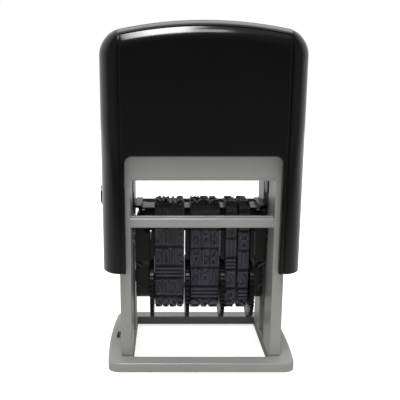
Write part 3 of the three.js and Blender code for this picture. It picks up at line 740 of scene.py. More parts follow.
@dataclass
class Frame:
    """The grey frame: slotted and grooved walls, crossbars, headers and the spring bridge."""

    half_depth: float = 10.0
    inner: float = 14.2
    wall: float = 2.3
    foot: float = 2.0
    top: float = 46.5
    bar: float = 1.6
    crossbar: Flat = (29.4, 31.37)
    rib_top: float = 31.6
    header_bottom: float = 38.84
    header_chamfer: Flat = (0.45, 0.8)
    back_header_bottom: float = 43.8
    bridge: Flat = (43.8, 45.5)
    ledge_width: float = 1.2
    ledge_height: float = 0.44
    groove_half_depth: float = 3.0
    groove_floor: float = 15.0
    slot_radius: float = 1.4
    slot: Flat = (9.1, 29.5)
    lock_height: float = 34.3
    post_offset: float = 7.526
    post_radius: float = 1.95
    post_top: float = 48.0
    edge: float = 0.22
    foot_gap: Flat = (0.25, 0.3)
    inset: float = 0.3
    rail: float = 0.2
    groove_mouth: float = 13.8
    round_sides: int = 32

    def crossbar_outline(self, side: int) -> list[Flat]:
        """List a crossbar's section: a bevelled face, a groove behind it and a taller rib.

        Args:
            side: -1 for the front or 1 for the back.

        Returns:
            The corners in y and z.
        """
        face, low, high = self.half_depth, self.crossbar[0], self.crossbar[1]
        back = face - self.bar
        half = [
            (back, low), (face - 0.3, low), (face, low + 0.3), (face, high - 0.22),
            (face - 0.22, high), (face - 0.5, high), (face - 0.55, high - 0.5),
            (face - 0.75, high - 0.5), (face - 0.8, self.rib_top - 0.15),
            (face - 0.95, self.rib_top), (back, self.rib_top),
        ]
        return [(side * y, z) for y, z in half]

    def header_outline(self) -> list[Flat]:
        """List the front header's section, with its chamfer below.

        Returns:
            The corners in y and z.
        """
        deep, tall = self.header_chamfer
        face, back = -self.half_depth, -self.half_depth + self.bar
        return [
            (back, self.header_bottom), (face + deep, self.header_bottom),
            (face, self.header_bottom + tall), (face, self.top), (back, self.top),
        ]

    def side_wall(self, side: int) -> list[Piece]:
        """Model one wall with its rail and its ledge.

        Args:
            side: -1 for the left or 1 for the right.

        Returns:
            The pieces to weld.
        """
        inner, deep = self.inner, self.half_depth - self.inset
        low, high = self.crossbar
        return [
            Piece.slab("wall", side, (inner, inner + self.wall), self.half_depth,
                       (self.foot, self.top)),
            Piece.slab("rail", side, (inner - self.rail, inner + 1), deep,
                       (low, high + self.rail)),
            Piece.slab("ledge", side, (inner - self.ledge_width, inner + 1), deep,
                       (self.header_bottom, self.header_bottom + self.ledge_height)),
        ]

    def openings(self, side: int) -> list[Piece]:
        """Model what is cut from one wall: the leg's groove, pin's slot and lock's hole.

        Args:
            side: -1 for the left or 1 for the right.

        Returns:
            The cutters.
        """
        groove = Piece.slab("groove", side, (self.groove_mouth, self.groove_floor),
                            self.groove_half_depth, (self.foot - 1, self.top + 1))
        outline = arc((0, self.slot[0]), self.slot_radius, 180, 360, 16)
        outline += arc((0, self.slot[1]), self.slot_radius, 0, 180, 16)
        ends = (self.inner - 0.6, self.inner + self.wall + 1)
        slot = Piece.prism("slot", Axis.X, outline, *mirrored(side, *ends))
        hole = Piece.pin("lock_hole", side, self.slot_radius, ends, self.lock_height)
        return [groove, slot, hole]

    def foot_gaps(self) -> list[Piece]:
        """Model what is cut round the walls' feet, where they stand on the plate.

        Returns:
            The cutters.
        """
        deep, tall = self.foot_gap
        wide, far, top = self.inner + self.wall, self.half_depth, self.foot + tall
        gaps = []
        for side in (-1, 1):
            low, high = mirrored(side, far - deep, far + 1)
            gaps.append(Piece.block("gap", (-wide - 1, low, self.foot - 1), (wide + 1, high, top)))
            gaps.append(Piece.slab("gap", side, (wide - deep, wide + 1), far + 1,
                                   (self.foot - 1, top)))
        return gaps

    def at_corner(self, a: Vector, b: Vector) -> bool:
        """Tell whether an edge is an upright corner of a wall, at the front or the back.

        Args:
            a: One end of the edge.
            b: The other end.

        Returns:
            Whether it is.
        """
        upright = max(abs(a.x - b.x), abs(a.y - b.y)) < SAME and abs(a.z - b.z) > 1
        wide = min(abs(abs(a.x) - x) for x in (self.inner, self.inner + self.wall))
        return upright and max(wide, abs(abs(a.y) - self.half_depth)) < SAME

    def build(self) -> None:
        """Model and dress the frame."""
        reach = self.inner + 1
        frame = Piece.prism("frame_moulding", Axis.X, self.header_outline(), -reach, reach)
        deep, back = self.half_depth, self.half_depth - self.bar
        low, high = self.bridge
        frame.weld(
            Piece.block("back_header", (-reach, back, self.back_header_bottom),
                        (reach, deep, self.top)),
            Piece.block("bridge", (-reach, -deep + self.inset, low),
                        (reach, deep - self.inset, high)),
        )
        for side in (-1, 1):
            frame.weld(Piece.prism("crossbar", Axis.X, self.crossbar_outline(side), -reach, reach))
            frame.weld(*self.side_wall(side))
        frame.cut(*self.foot_gaps())
        for side in (-1, 1):
            frame.cut(*self.openings(side))
            frame.weld(Piece.rod(
                "post", Axis.Z, self.post_radius, (side * self.post_offset, 0, high - 0.5),
                self.post_top - high + 0.5, self.round_sides))
        frame.tidy().bevel_edges(self.edge, 2, self.at_corner)
        frame.round_off(0.06, 2).smooth_level()
        frame.finish(GREY_PLASTIC, Body.FRAME.value, "frame")


@dataclass
class Cap:
    """The glossy cap: a lofted shell with seamed panels, wings and two openings."""

    half_width: float = 20.15
    taper: float = 0.05
    half_depth: float = 12.0
    top: float = 69.6
    arch_radius: float = 80.3
    crown_radius: float = 58.0
    side_fillet: Flat = (3.85, 4.03)
    face_fillet: Flat = (3.2, 4.2)
    panel: float = 16.0
    corner_depth: float = 6.5
    wall: float = 1.5
    face_wall: float = 1.6
    wing_bottom: float = 19.9
    wing_rise: float = 0.6
    cutout: float = 15.15
    cutout_top: float = 43.8
    cutout_fillet: float = 1.5
    seam_turn: float = 52.4
    seam_depth: float = 0.34
    seam_width: float = 0.26
    pivot_height: float = 24.6
    pivot_bore: float = 1.4
    lock_height: float = 34.3
    lock_bore: float = 2.4
    spring_offset: float = 7.526
    spring_seat: float = 66.5
    inner_fillet: Flat = (2.4, 2.6)
    rim_bevel: float = 0.3
    boss: Point = (2.5, -1.65, 0.75)
    seat_radius: float = 3.45
    stub: Point = (1.95, 64.3, 2.8)
    socket: tuple[Flat, float, Flat] = ((12.9, 15.95), 2.9, (62.5, 67.0))
    leg_seat: tuple[Flat, float, Flat] = ((13.8, 15.05), 2.0, (61.5, 65.5))

    def drop(self, x: float, y: float) -> float:
        """Give how far the roof lies below the cap's top: its arch and its crown together.

        Args:
            x: The place across.
            y: The place in depth.

        Returns:
            The drop.
        """
        arch = self.arch_radius - math.sqrt(self.arch_radius**2 - x * x)
        crown = self.crown_radius - math.sqrt(self.crown_radius**2 - y * y)
        return arch + crown

    def columns(self) -> list[Column]:
        """List the columns around the cap.

        Returns:
            Each column's place in x and y, its outward direction there, and its share of the
            seam's depth.
        """
        half = self.seam_width / 2
        lips = ((half, 1.0), (half + 0.02, 0.4), (half + 0.08, 0.27), (half + 0.25, 0.13),
                (half + 0.55, 0.03), (half + 0.9, 0.0))
        panel = [(-self.panel + near, deep) for near, deep in lips]
        panel += [(-14.4 + 1.8 * i, 0.0) for i in range(17)]
        panel += [(self.panel - near, deep) for near, deep in reversed(lips)]
        corner_x = self.half_width - self.panel
        quarter = []
        steps = 12
        for i in range(steps + 1):
            turn = math.pi / 2 * i / steps
            run = Vector((math.sin(turn) / corner_x, math.cos(turn) / self.corner_depth))
            run.normalize()
            quarter.append((
                self.panel + corner_x * math.sin(turn),
                self.half_depth - self.corner_depth * (1 - math.cos(turn)), run.x, run.y))
        rim = [(self.panel + half * 0.6, 1.0), (self.panel + half, 0.0)]
        flank = self.half_depth - self.corner_depth
        found = []
        for sign in (1, -1):
            for x, deep in panel + rim:
                found.append((sign * x, -sign * self.half_depth, 0.0, -float(sign), deep))
            for x, y, run_x, run_y in quarter[1:]:
                found.append((sign * x, -sign * y, sign * run_x, -sign * run_y, 0.0))
            for i in range(1, 6):
                found.append((sign * self.half_width, sign * flank * (i / 3 - 1),
                              float(sign), 0.0, 0.0))
            for x, y, run_x, run_y in quarter[:0:-1]:
                found.append((sign * x, sign * y, sign * run_x, sign * run_y, 0.0))
            for x, deep in reversed(rim):
                found.append((sign * x, sign * self.half_depth, 0.0, float(sign), deep))
        return found

    def fillet_point(self, column: Column, turn: float, sink: float) -> Point:
        """Give a point of the top fillet, from the wall at 0 to the roof at 90 degrees.

        Args:
            column: The column's place, direction and share of the seam's depth.
            turn: The angle along the fillet in degrees.
            sink: How far the point lies below the surface.

        Returns:
            The point.
        """
        x, y, run_x, run_y, _ = column
        share_x, share_y = run_x**2, run_y**2
        reach = share_x * self.side_fillet[0] + share_y * self.face_fillet[0]
        fall = share_x * self.side_fillet[1] + share_y * self.face_fillet[1]
        angle = math.radians(turn)
        inset = self.taper * share_x + reach * (1 - math.cos(angle)) + sink * math.cos(angle)
        near_x, near_y = x - run_x * inset, y - run_y * inset
        height = self.top - self.drop(near_x, near_y) - fall * (1 - math.sin(angle))
        return (near_x, near_y, height - sink * math.sin(angle))

    def outer_rings(self) -> list[list[Point]]:
        """List the rings of the outer surface, from the wings' lower edge to the roof's middle.

        Returns:
            The rings in order.
        """
        columns = self.columns()
        rings = []
        steps = 16
        for step in range(steps):
            ring = []
            for column in columns:
                x, y, run_x, run_y, deep = column
                low = self.wing_bottom + self.wing_rise * (y / self.half_depth) ** 2
                sink = self.seam_depth * deep
                end = self.fillet_point(column, 0, sink)
                share = step / steps
                start = (x - run_x * sink, y - run_y * sink, low)
                ring.append(tuple(a + (b - a) * share for a, b in zip(start, end)))
            rings.append(ring)
        seam = {self.seam_turn - 1.9: 0.0, self.seam_turn - 1.75: 1.0,
                self.seam_turn + 1.6: 1.0, self.seam_turn + 1.75: 0.0}
        plain = (0, 6, 12, 18, 24, 30, 36, 42, 60, 66, 72, 78, 84, 90)
        for turn in sorted([*plain, *seam]):
            ring = []
            for column in columns:
                across = seam.get(turn, 0.0) if column[2] == 0 else 0.0
                down = column[4] * max(0.0, 1 - turn / self.seam_turn)
                ring.append(self.fillet_point(column, turn, self.seam_depth * max(across, down)))
            rings.append(ring)
        edge = rings[-1]
        for share in (0.86, 0.7, 0.5, 0.3, 0.12, 0.02):
            rings.append([self.roof_point(x * (0.25 + 0.75 * share), y * share, 0)
                          for x, y, _ in edge])
        return rings

    def roof_point(self, x: float, y: float, depth: float) -> Point:
        """Give a point of the roof, or of its inner face at a depth below."""
        return (x, y, self.top - depth - self.drop(x, y))

    def inner_rings(self) -> list[list[Point]]:
        """List the rings of the inner surface, from the roof's middle to the wings' lower edge.

        Returns:
            The rings in order.
        """
        inner = []
        for x, y, run_x, run_y, _ in self.columns():
            sunk = run_x**2 * self.wall + run_y**2 * self.face_wall
            inner.append((x - run_x * sunk, y - run_y * sunk, run_x, run_y))
        rings = []
        for share in (0.02, 0.3, 0.7):
            rings.append([self.roof_point(x * (0.25 + 0.7 * share), y * share, self.wall)
                          for x, y, _, _ in inner])
        for turn in (90, 60, 30, 0):
            angle = math.radians(turn)
            ring = []
            for x, y, run_x, run_y in inner:
                inset = self.inner_fillet[0] * (1 - math.cos(angle))
                near_x, near_y = x - run_x * inset, y - run_y * inset
                _, _, height = self.roof_point(near_x, near_y, self.wall)
                fall = self.inner_fillet[1] * (1 - math.sin(angle))
                ring.append((near_x, near_y, height - fall))
            rings.append(ring)
        rings.append([(x, y, self.cutout_top - 4) for x, y, _, _ in inner])
        rings.append([(x, y, self.wing_bottom + self.wing_rise * (y / self.half_depth) ** 2)
                      for x, y, _, _ in inner])
        return rings

    def window(self) -> Piece:
        """Model the cutter of the front and back openings, with its rounded upper corners.

        Returns:
            The cutter.
        """
        wide, radius = self.cutout, self.cutout_fillet
        top, deep = self.cutout_top, self.half_depth + 1
        outline = [(-wide, 10.0), (wide, 10.0)]
        outline += arc((wide - radius, top - radius), radius, 0, 90, 8)
        outline += arc((-wide + radius, top - radius), radius, 90, 180, 8)
        return Piece.prism("window", Axis.Y, outline, -deep, deep)

    def inner_parts(self, side: int) -> list[Piece]:
        """Model what stands inside one half: the boss, the spring's seat and the socket.

        Args:
            side: -1 for the left or 1 for the right.

        Returns:
            The pieces to weld.
        """
        inside = self.half_width - self.wall
        radius, near, far = self.boss
        boss = Piece.pin("boss", side, radius, (inside + near, inside + far),
                         self.pivot_height, 48)
        middle, low = side * self.spring_offset, self.spring_seat
        roof = self.top - self.wall - self.drop(self.spring_offset, 0) + 0.6
        seat = Piece.rod("seat", Axis.Z, self.seat_radius, (middle, 0, low), roof - low)
        radius, low, long = self.stub
        stub = Piece.rod("stub", Axis.Z, radius, (middle, 0, low), long)
        return [boss, seat, stub, Piece.slab("socket", side, *self.socket)]

    def bores(self, side: int) -> list[Piece]:
        """Model what is cut from one half: the pin's bore, the lock's hole and the leg's seat.

        Args:
            side: -1 for the left or 1 for the right.

        Returns:
            The cutters.
        """
        inside = self.half_width - self.wall
        return [
            Piece.pin("pin_bore", side, self.pivot_bore, (inside - 2.5, inside + 0.3),
                      self.pivot_height),
            Piece.pin("lock_bore", side, self.lock_bore, (inside - 0.6, inside + 2.4),
                      self.lock_height, 48),
            Piece.slab("leg_seat", side, *self.leg_seat),
        ]

    def build(self) -> None:
        """Model and dress the cap."""
        shell = Piece.loft("cap_shell", self.inner_rings() + self.outer_rings(), ends=True)
        shell.cut(self.window())
        for side in (-1, 1):
            shell.weld(*self.inner_parts(side))
            shell.cut(*self.bores(side))
        shell.bevel_edges(self.rim_bevel, 2, self.at_window)
        shell.smooth(21).finish(BLACK_GLOSS, Body.CAP.value, "cap")

    def at_window(self, a: Vector, b: Vector) -> bool:
        """Tell whether an edge lies on the outer rim of a front or back opening.

        Args:
            a: One end of the edge.
            b: The other end.

        Returns:
            Whether it does.
        """
        wide, top = self.cutout + ABOUT, self.cutout_top + ABOUT
        return all(abs(p.x) <= wide and p.z <= top
                   and abs(abs(p.y) - self.half_depth) <= ABOUT for p in (a, b))


@dataclass
class CapFittings:
    """The lock buttons, pivot pins and retaining legs that the cap carries."""

    inside: float = 18.65
    outside: float = 20.15
    lock_height: float = 34.3
    head_radius: float = 2.1
    proud: float = 0.95
    dome: float = 0.18
    flange: Flat = (3.0, 0.4)
    tip: Flat = (1.1, 0.95)
    pin_radius: float = 1.1
    pin: Flat = (12.3, 18.65)
    pivot_height: float = 24.6
    leg_inner: float = 14.1
    leg_thickness: float = 0.65
    leg_half_depth: float = 1.7
    leg: Flat = (34.56, 65.2)

    def button(self, side: int, label: str) -> None:
        """Model and dress a lock button: a domed head, a flange and a stepped tip.

        Args:
            side: -1 for the left or 1 for the right.
            label: The side's name.
        """
        face = self.outside + self.proud
        outer = self.inside - 0.3
        inner = outer - self.flange[1]
        head, (tip, long) = self.head_radius, self.tip
        crown = face - self.dome
        ring_places = [
            (tip - 0.15, inner - long), (tip, inner - long + 0.15), (tip, inner),
            (self.flange[0], inner), (self.flange[0], outer), (head, outer),
            (head, crown - 0.1), (head - 0.1, crown + 0.04), (1.5, face - 0.13),
            (0.7, face - 0.03), (0.15, face),
        ]
        turns = [2 * math.pi * i / 48 for i in range(48)]
        rings = [
            [(side * x, r * math.cos(t), self.lock_height + r * math.sin(t)) for t in turns]
            for r, x in ring_places
        ]
        button = Piece.loft(f"lock_button_{label}_domed", rings, ends=True)
        button.smooth(30).finish(BLACK_GLOSS, f"lock_{label}_body", f"lock_button_{label}")

    def pin_piece(self, side: int, label: str) -> None:
        """Model and dress a pivot pin with chamfered ends.

        Args:
            side: -1 for the left or 1 for the right.
            label: The side's name.
        """
        pin = Piece.pin(f"pivot_pin_{label}_ground", side, self.pin_radius, self.pin,
                        self.pivot_height, 48)
        pin.round_off(0.15, 2, 60).smooth(40)
        pin.finish(STEEL, Body.CAP.value, f"pivot_pin_{label}")

    def leg_piece(self, side: int, label: str) -> None:
        """Model and dress a retaining leg with its round foot.

        Args:
            side: -1 for the left or 1 for the right.
            label: The side's name.
        """
        half, (low, high) = self.leg_half_depth, self.leg
        outline = [(half, high), (-half, high)] + arc((0, low + half), half, 180, 360, 16)
        near, far = mirrored(side, self.leg_inner, self.leg_inner + self.leg_thickness)
        leg = Piece.prism(f"retaining_leg_{label}_strip", Axis.X, outline, near, far)
        leg.round_off(0.12, 2).smooth_level()
        leg.finish(DARK_PLASTIC, Body.CAP.value, f"retaining_leg_{label}")

    def build(self) -> None:
        """Model and dress every fitting on both sides."""
        for side, label in ((-1, "left"), (1, "right")):
            self.button(side, label)
            self.pin_piece(side, label)
            self.leg_piece(side, label)


@dataclass
class ReturnSprings:
    """The two coil springs that push the cap up."""

    offset: float = 7.526
    mean_radius: float = 2.6
    wire_radius: float = 0.35
    curls: int = 7
    seats: Flat = (45.8, 66.2)
    stroke: float = 15.5

    def coil(self, side: int, label: str) -> None:
        """Model a coil by screwing the wire's section up its axis.

        Args:
            side: -1 for the left or 1 for the right.
            label: The side's name.
        """
        clear_selection()
        bpy.ops.mesh.primitive_circle_add(
            vertices=10, radius=self.wire_radius * MM, fill_type="NGON",
            location=(self.mean_radius * MM, 0, 0), rotation=(math.pi / 2, 0, 0))
        wire = Piece(bpy.context.active_object, f"return_spring_{label}_coil")
        bpy.ops.object.transform_apply(location=True, rotation=True, scale=True)
        low, high = self.seats
        climb = high - low - 2 * self.wire_radius
        wire.modify("SCREW", axis="Z", angle=2 * math.pi * self.curls,
                    screw_offset=climb * MM, steps=24 * self.curls,
                    render_steps=24 * self.curls, iterations=1, use_merge_vertices=True)
        wire.open(Elements.VERT, "SELECT")
        bpy.ops.transform.translate(value=(
            side * self.offset * MM, 0, (low + self.wire_radius) * MM))
        wire.close(recalculate=True)
        wire.smooth(50).finish(STEEL, Body.FRAME.value, f"return_spring_{label}")
        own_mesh(wire.shape)

    def build(self) -> None:
        """Model and dress both springs."""
        self.coil(-1, "left")
        self.coil(1, "right")


@dataclass
class PadCartridge:
    """The tray that slides out at the back, and the ink pad in it."""

    half_width: float = 13.8
    front: float = -8.1
    back: float = 10.0
    bottom: float = 39.8
    top: float = 43.5
    plate: Point = (12.4, 8.4, 39.06)
    grip: Point = (6.0, 0.7, 2.0)
    recess: Flat = (12.4, 7.1)
    roof: float = 1.2
    pad: Flat = (12.1, 6.8)
    pad_span: Flat = (39.2, 42.0)

    def tray(self) -> None:
        """Model and dress the tray with its back plate and fingernail groove."""
        wide, deep, low = self.plate
        tray = Piece.block("cartridge_tray", (-self.half_width, self.front, self.bottom),
                           (self.half_width, self.back, self.top))
        tray.weld(Piece.block("back_plate", (-wide, deep, low), (wide, self.back, self.top)))
        middle = (low + self.top) / 2
        grip_wide, grip_deep, grip_tall = self.grip
        tray.cut(
            Piece.block("grip", (-grip_wide, self.back - grip_deep, middle - grip_tall / 2),
                        (grip_wide, self.back + 1, middle + grip_tall / 2)),
            Piece.block("recess", (-self.recess[0], -self.recess[1], self.bottom - 1),
                        (self.recess[0], self.recess[1], self.top - self.roof)),
        )
        tray.round_off(0.2, 2).smooth_level()
        tray.finish(GREY_PLASTIC, Body.CARTRIDGE.value, "pad_cartridge")

    def foam(self) -> None:
        """Model and dress the ink pad: a block with soft edges and a slightly crowned face."""
        (wide, deep), (low, high) = self.pad, self.pad_span
        foam = Piece.block("ink_pad_foam", (-wide, -deep, low), (wide, deep, high))
        foam.open(Elements.FACE, "SELECT")
        bpy.ops.mesh.subdivide(number_cuts=11)
        mesh = bmesh.from_edit_mesh(foam.shape.data)
        for vertex in mesh.verts:
            x, y, z = vertex.co / MM
            if z < (low + high) / 2:
                crown = (x / wide) ** 2 + (y / deep) ** 2
                vertex.co.z += 0.12 * min(crown, 1.2) * (high - z) / (high - low) * MM
        bmesh.update_edit_mesh(foam.shape.data)
        foam.close()
        foam.modify("BEVEL", width=0.35 * MM, segments=3, limit_method="ANGLE",
                    angle_limit=math.radians(50))
        foam.smooth(60).finish(PAD_FOAM, Body.CARTRIDGE.value, "ink_pad")

    def build(self) -> None:
        """Model and dress the tray and its pad."""
        self.tray()
        self.foam()


@dataclass
class Cradle:
    """The black carrier of the belts: two shouldered cheeks, a bridge, the platen and the axle."""

    cheek: Flat = (11.6, 13.7)
    cheek_top: float = 32.8
    cheek_half_depth: float = 4.5
    shoulder: float = 20.7
    shoulder_drop: float = 2.3
    foot_half_depth: float = 2.4
    axle_height: float = 13.7
    axle_radius: float = 0.9
    axle_half_length: float = 12.8
    bridge: Flat = (27.0, 29.8)
    bridge_half_depth: float = 2.6
    top_plate: float = 0.5
    notch: Flat = (1.3, 3.1)
    pad_end: float = -10.68
    partitions: tuple[float, ...] = (-10.6, -3.044, 4.393, 10.5)
    partition_thickness: float = 0.8
    partition_half_depth: float = 3.9
    partition_bottom: float = 20.95
    slot_bottom: float = 25.05
    slot_end: float = -10.3
    lug_height: float = 16.2
    lug_radius: float = 1.45
    lug_proud: float = 0.25
    pivot_height: float = 24.6
    platen_half_depth: float = 2.9
    platen: Flat = (30.1, 32.0)
    platen_end: float = 12.15
    ledges: tuple[tuple[Flat, Flat, Flat], ...] = (
        ((13.6, 20.75), (12.2, 19.75), (4.75, 3.0)), ((13.5, 15.05), (12.4, 14.6), (2.65, 2.1)))
    ledge_thickness: float = 0.4
    pin_bore: float = 1.4
    axle_bore: float = 1.2

    def cheek_outline(self) -> list[Flat]:
        """List a cheek's outline from the side, from its top down round its foot.

        Returns:
            The corners in y and z.
        """
        half, foot = self.cheek_half_depth, self.foot_half_depth
        low = self.shoulder - self.shoulder_drop
        points = [(half, self.cheek_top), (-half, self.cheek_top), (-half, self.shoulder),
                  (-foot, low)]
        points += arc((0, self.axle_height), foot, 180, 360, 16)
        points += [(foot, low), (half, self.shoulder)]
        return points

    def cheek_notch(self, side: int) -> Piece:
        """Model the cutter of the notch below a cheek's top plate, on the outside.

        Args:
            side: -1 for the left or 1 for the right.

        Returns:
            The cutter.
        """
        outer = self.cheek[1]
        top = self.cheek_top - self.top_plate
        deep, tall = self.notch
        outline = [(side * outer, top - tall), (side * (outer + 0.6), top - tall),
                   (side * (outer + 0.6), top), (side * (outer - deep), top)]
        reach = self.cheek_half_depth + 0.6
        return Piece.prism("notch", Axis.Y, outline, -reach, reach)

    def pad(self) -> Piece:
        """Model the left cheek's pad, which follows the cheek's outline up to the bridge."""
        top = self.bridge[0]
        outline = [(y, min(z, top)) for y, z in self.cheek_outline()]
        return Piece.prism("pad", Axis.X, outline, -self.cheek[0] - 0.5, self.pad_end)

    def dividers(self) -> list[Piece]:
        """Model the partitions above the setting wheels, the left one webbed to the pad.

        Returns:
            The pieces to weld.
        """
        deep, low, high = self.partition_half_depth, self.partition_bottom, self.bridge[0] + 0.5
        made = []
        for near in self.partitions:
            far = near + self.partition_thickness
            if near == self.partitions[0]:
                made.append(Piece.block("web", (self.pad_end - 0.5, -deep, low),
                                        (far, deep, self.slot_bottom)))
                near, far = self.slot_end, far + 0.14
            made.append(Piece.block("partition", (near, -deep, low), (far, deep, high)))
        return made

    def carrier(self) -> None:
        """Model and dress the cheeks with their lugs and bores, and the bridge between them."""
        inner, outer = self.cheek
        deep = self.bridge_half_depth
        carrier = Piece.block("cradle_carrier", (-inner - 0.5, -deep, self.bridge[0]),
                              (inner + 0.5, deep, self.bridge[1]))
        carrier.weld(self.pad(), *self.dividers())
        for side in (-1, 1):
            carrier.weld(Piece.prism("cheek", Axis.X, self.cheek_outline(),
                                     *mirrored(side, inner, outer)))
            carrier.cut(self.cheek_notch(side))
            carrier.cut(Piece.slab(
                "seat", side, (inner - 1, self.platen_end + 0.1), self.cheek_half_depth + 1,
                (self.platen[1] - 0.2, self.cheek_top + 1)))
            carrier.weld(Piece.pin("lug", side, self.lug_radius,
                                   (outer - 1, outer + self.lug_proud), self.lug_height))
            carrier.cut(
                Piece.pin("pin_bore", side, self.pin_bore, (outer - 1.7, outer + 0.6),
                          self.pivot_height),
                Piece.pin("axle_bore", side, self.axle_bore,
                          (inner - 1.4, self.axle_half_length + 0.3), self.axle_height))
        carrier.round_off(0.2, 2).smooth_level()
        carrier.finish(BLACK_PLASTIC, Body.CRADLE.value, "cradle")

    def cheek_ledges(self) -> None:
        """Model and dress the small slanting ledges on the cheeks' fronts and backs."""
        made = []
        for outer, inner, (proud, root) in self.ledges:
            for side in (-1, 1):
                low = self.ledge_thickness
                outline = [(side * x, z - drop) for drop, ends in (
                    (0.0, (outer, inner)), (low, (inner, outer))) for x, z in ends]
                for face in (-1, 1):
                    near, far = mirrored(face, root, proud)
                    made.append(Piece.prism("cradle_ledges", Axis.Y, outline, near, far))
        made[0].merge(*made[1:]).round_off(0.06, 1).smooth()
        made[0].finish(DARK_PLASTIC, Body.CRADLE.value, "cradle")

    def platen_bar(self) -> None:
        """Model and dress the bar under the belts' printing stretch."""
        half, (low, high) = self.platen_half_depth, self.platen
        radius = 0.3
        outline = [(-half, low), (half, low)]
        outline += arc((half - radius, high - radius), radius, 0, 90, 6)
        outline += arc((-half + radius, high - radius), radius, 90, 180, 6)
        end = self.platen_end
        bar = Piece.prism("platen_bar", Axis.X, outline, -end, end)
        bar.round_off(0.08, 2).smooth_level()
        bar.finish(BLACK_PLASTIC, Body.CRADLE.value, "platen")

    def axle(self) -> None:
        """Model and dress the wheels' axle with chamfered ends."""
        end = self.axle_half_length
        axle = Piece.rod("wheel_axle_ground", Axis.X, self.axle_radius,
                         (-end, 0, self.axle_height), 2 * end)
        axle.round_off(0.12, 2, 60).smooth(40)
        axle.finish(STEEL, Body.CRADLE.value, "wheel_axle")

    def build(self) -> None:
        """Model and dress the carrier, its ledges, the platen and the axle."""
        self.carrier()
        self.cheek_ledges()
        self.platen_bar()
        self.axle()


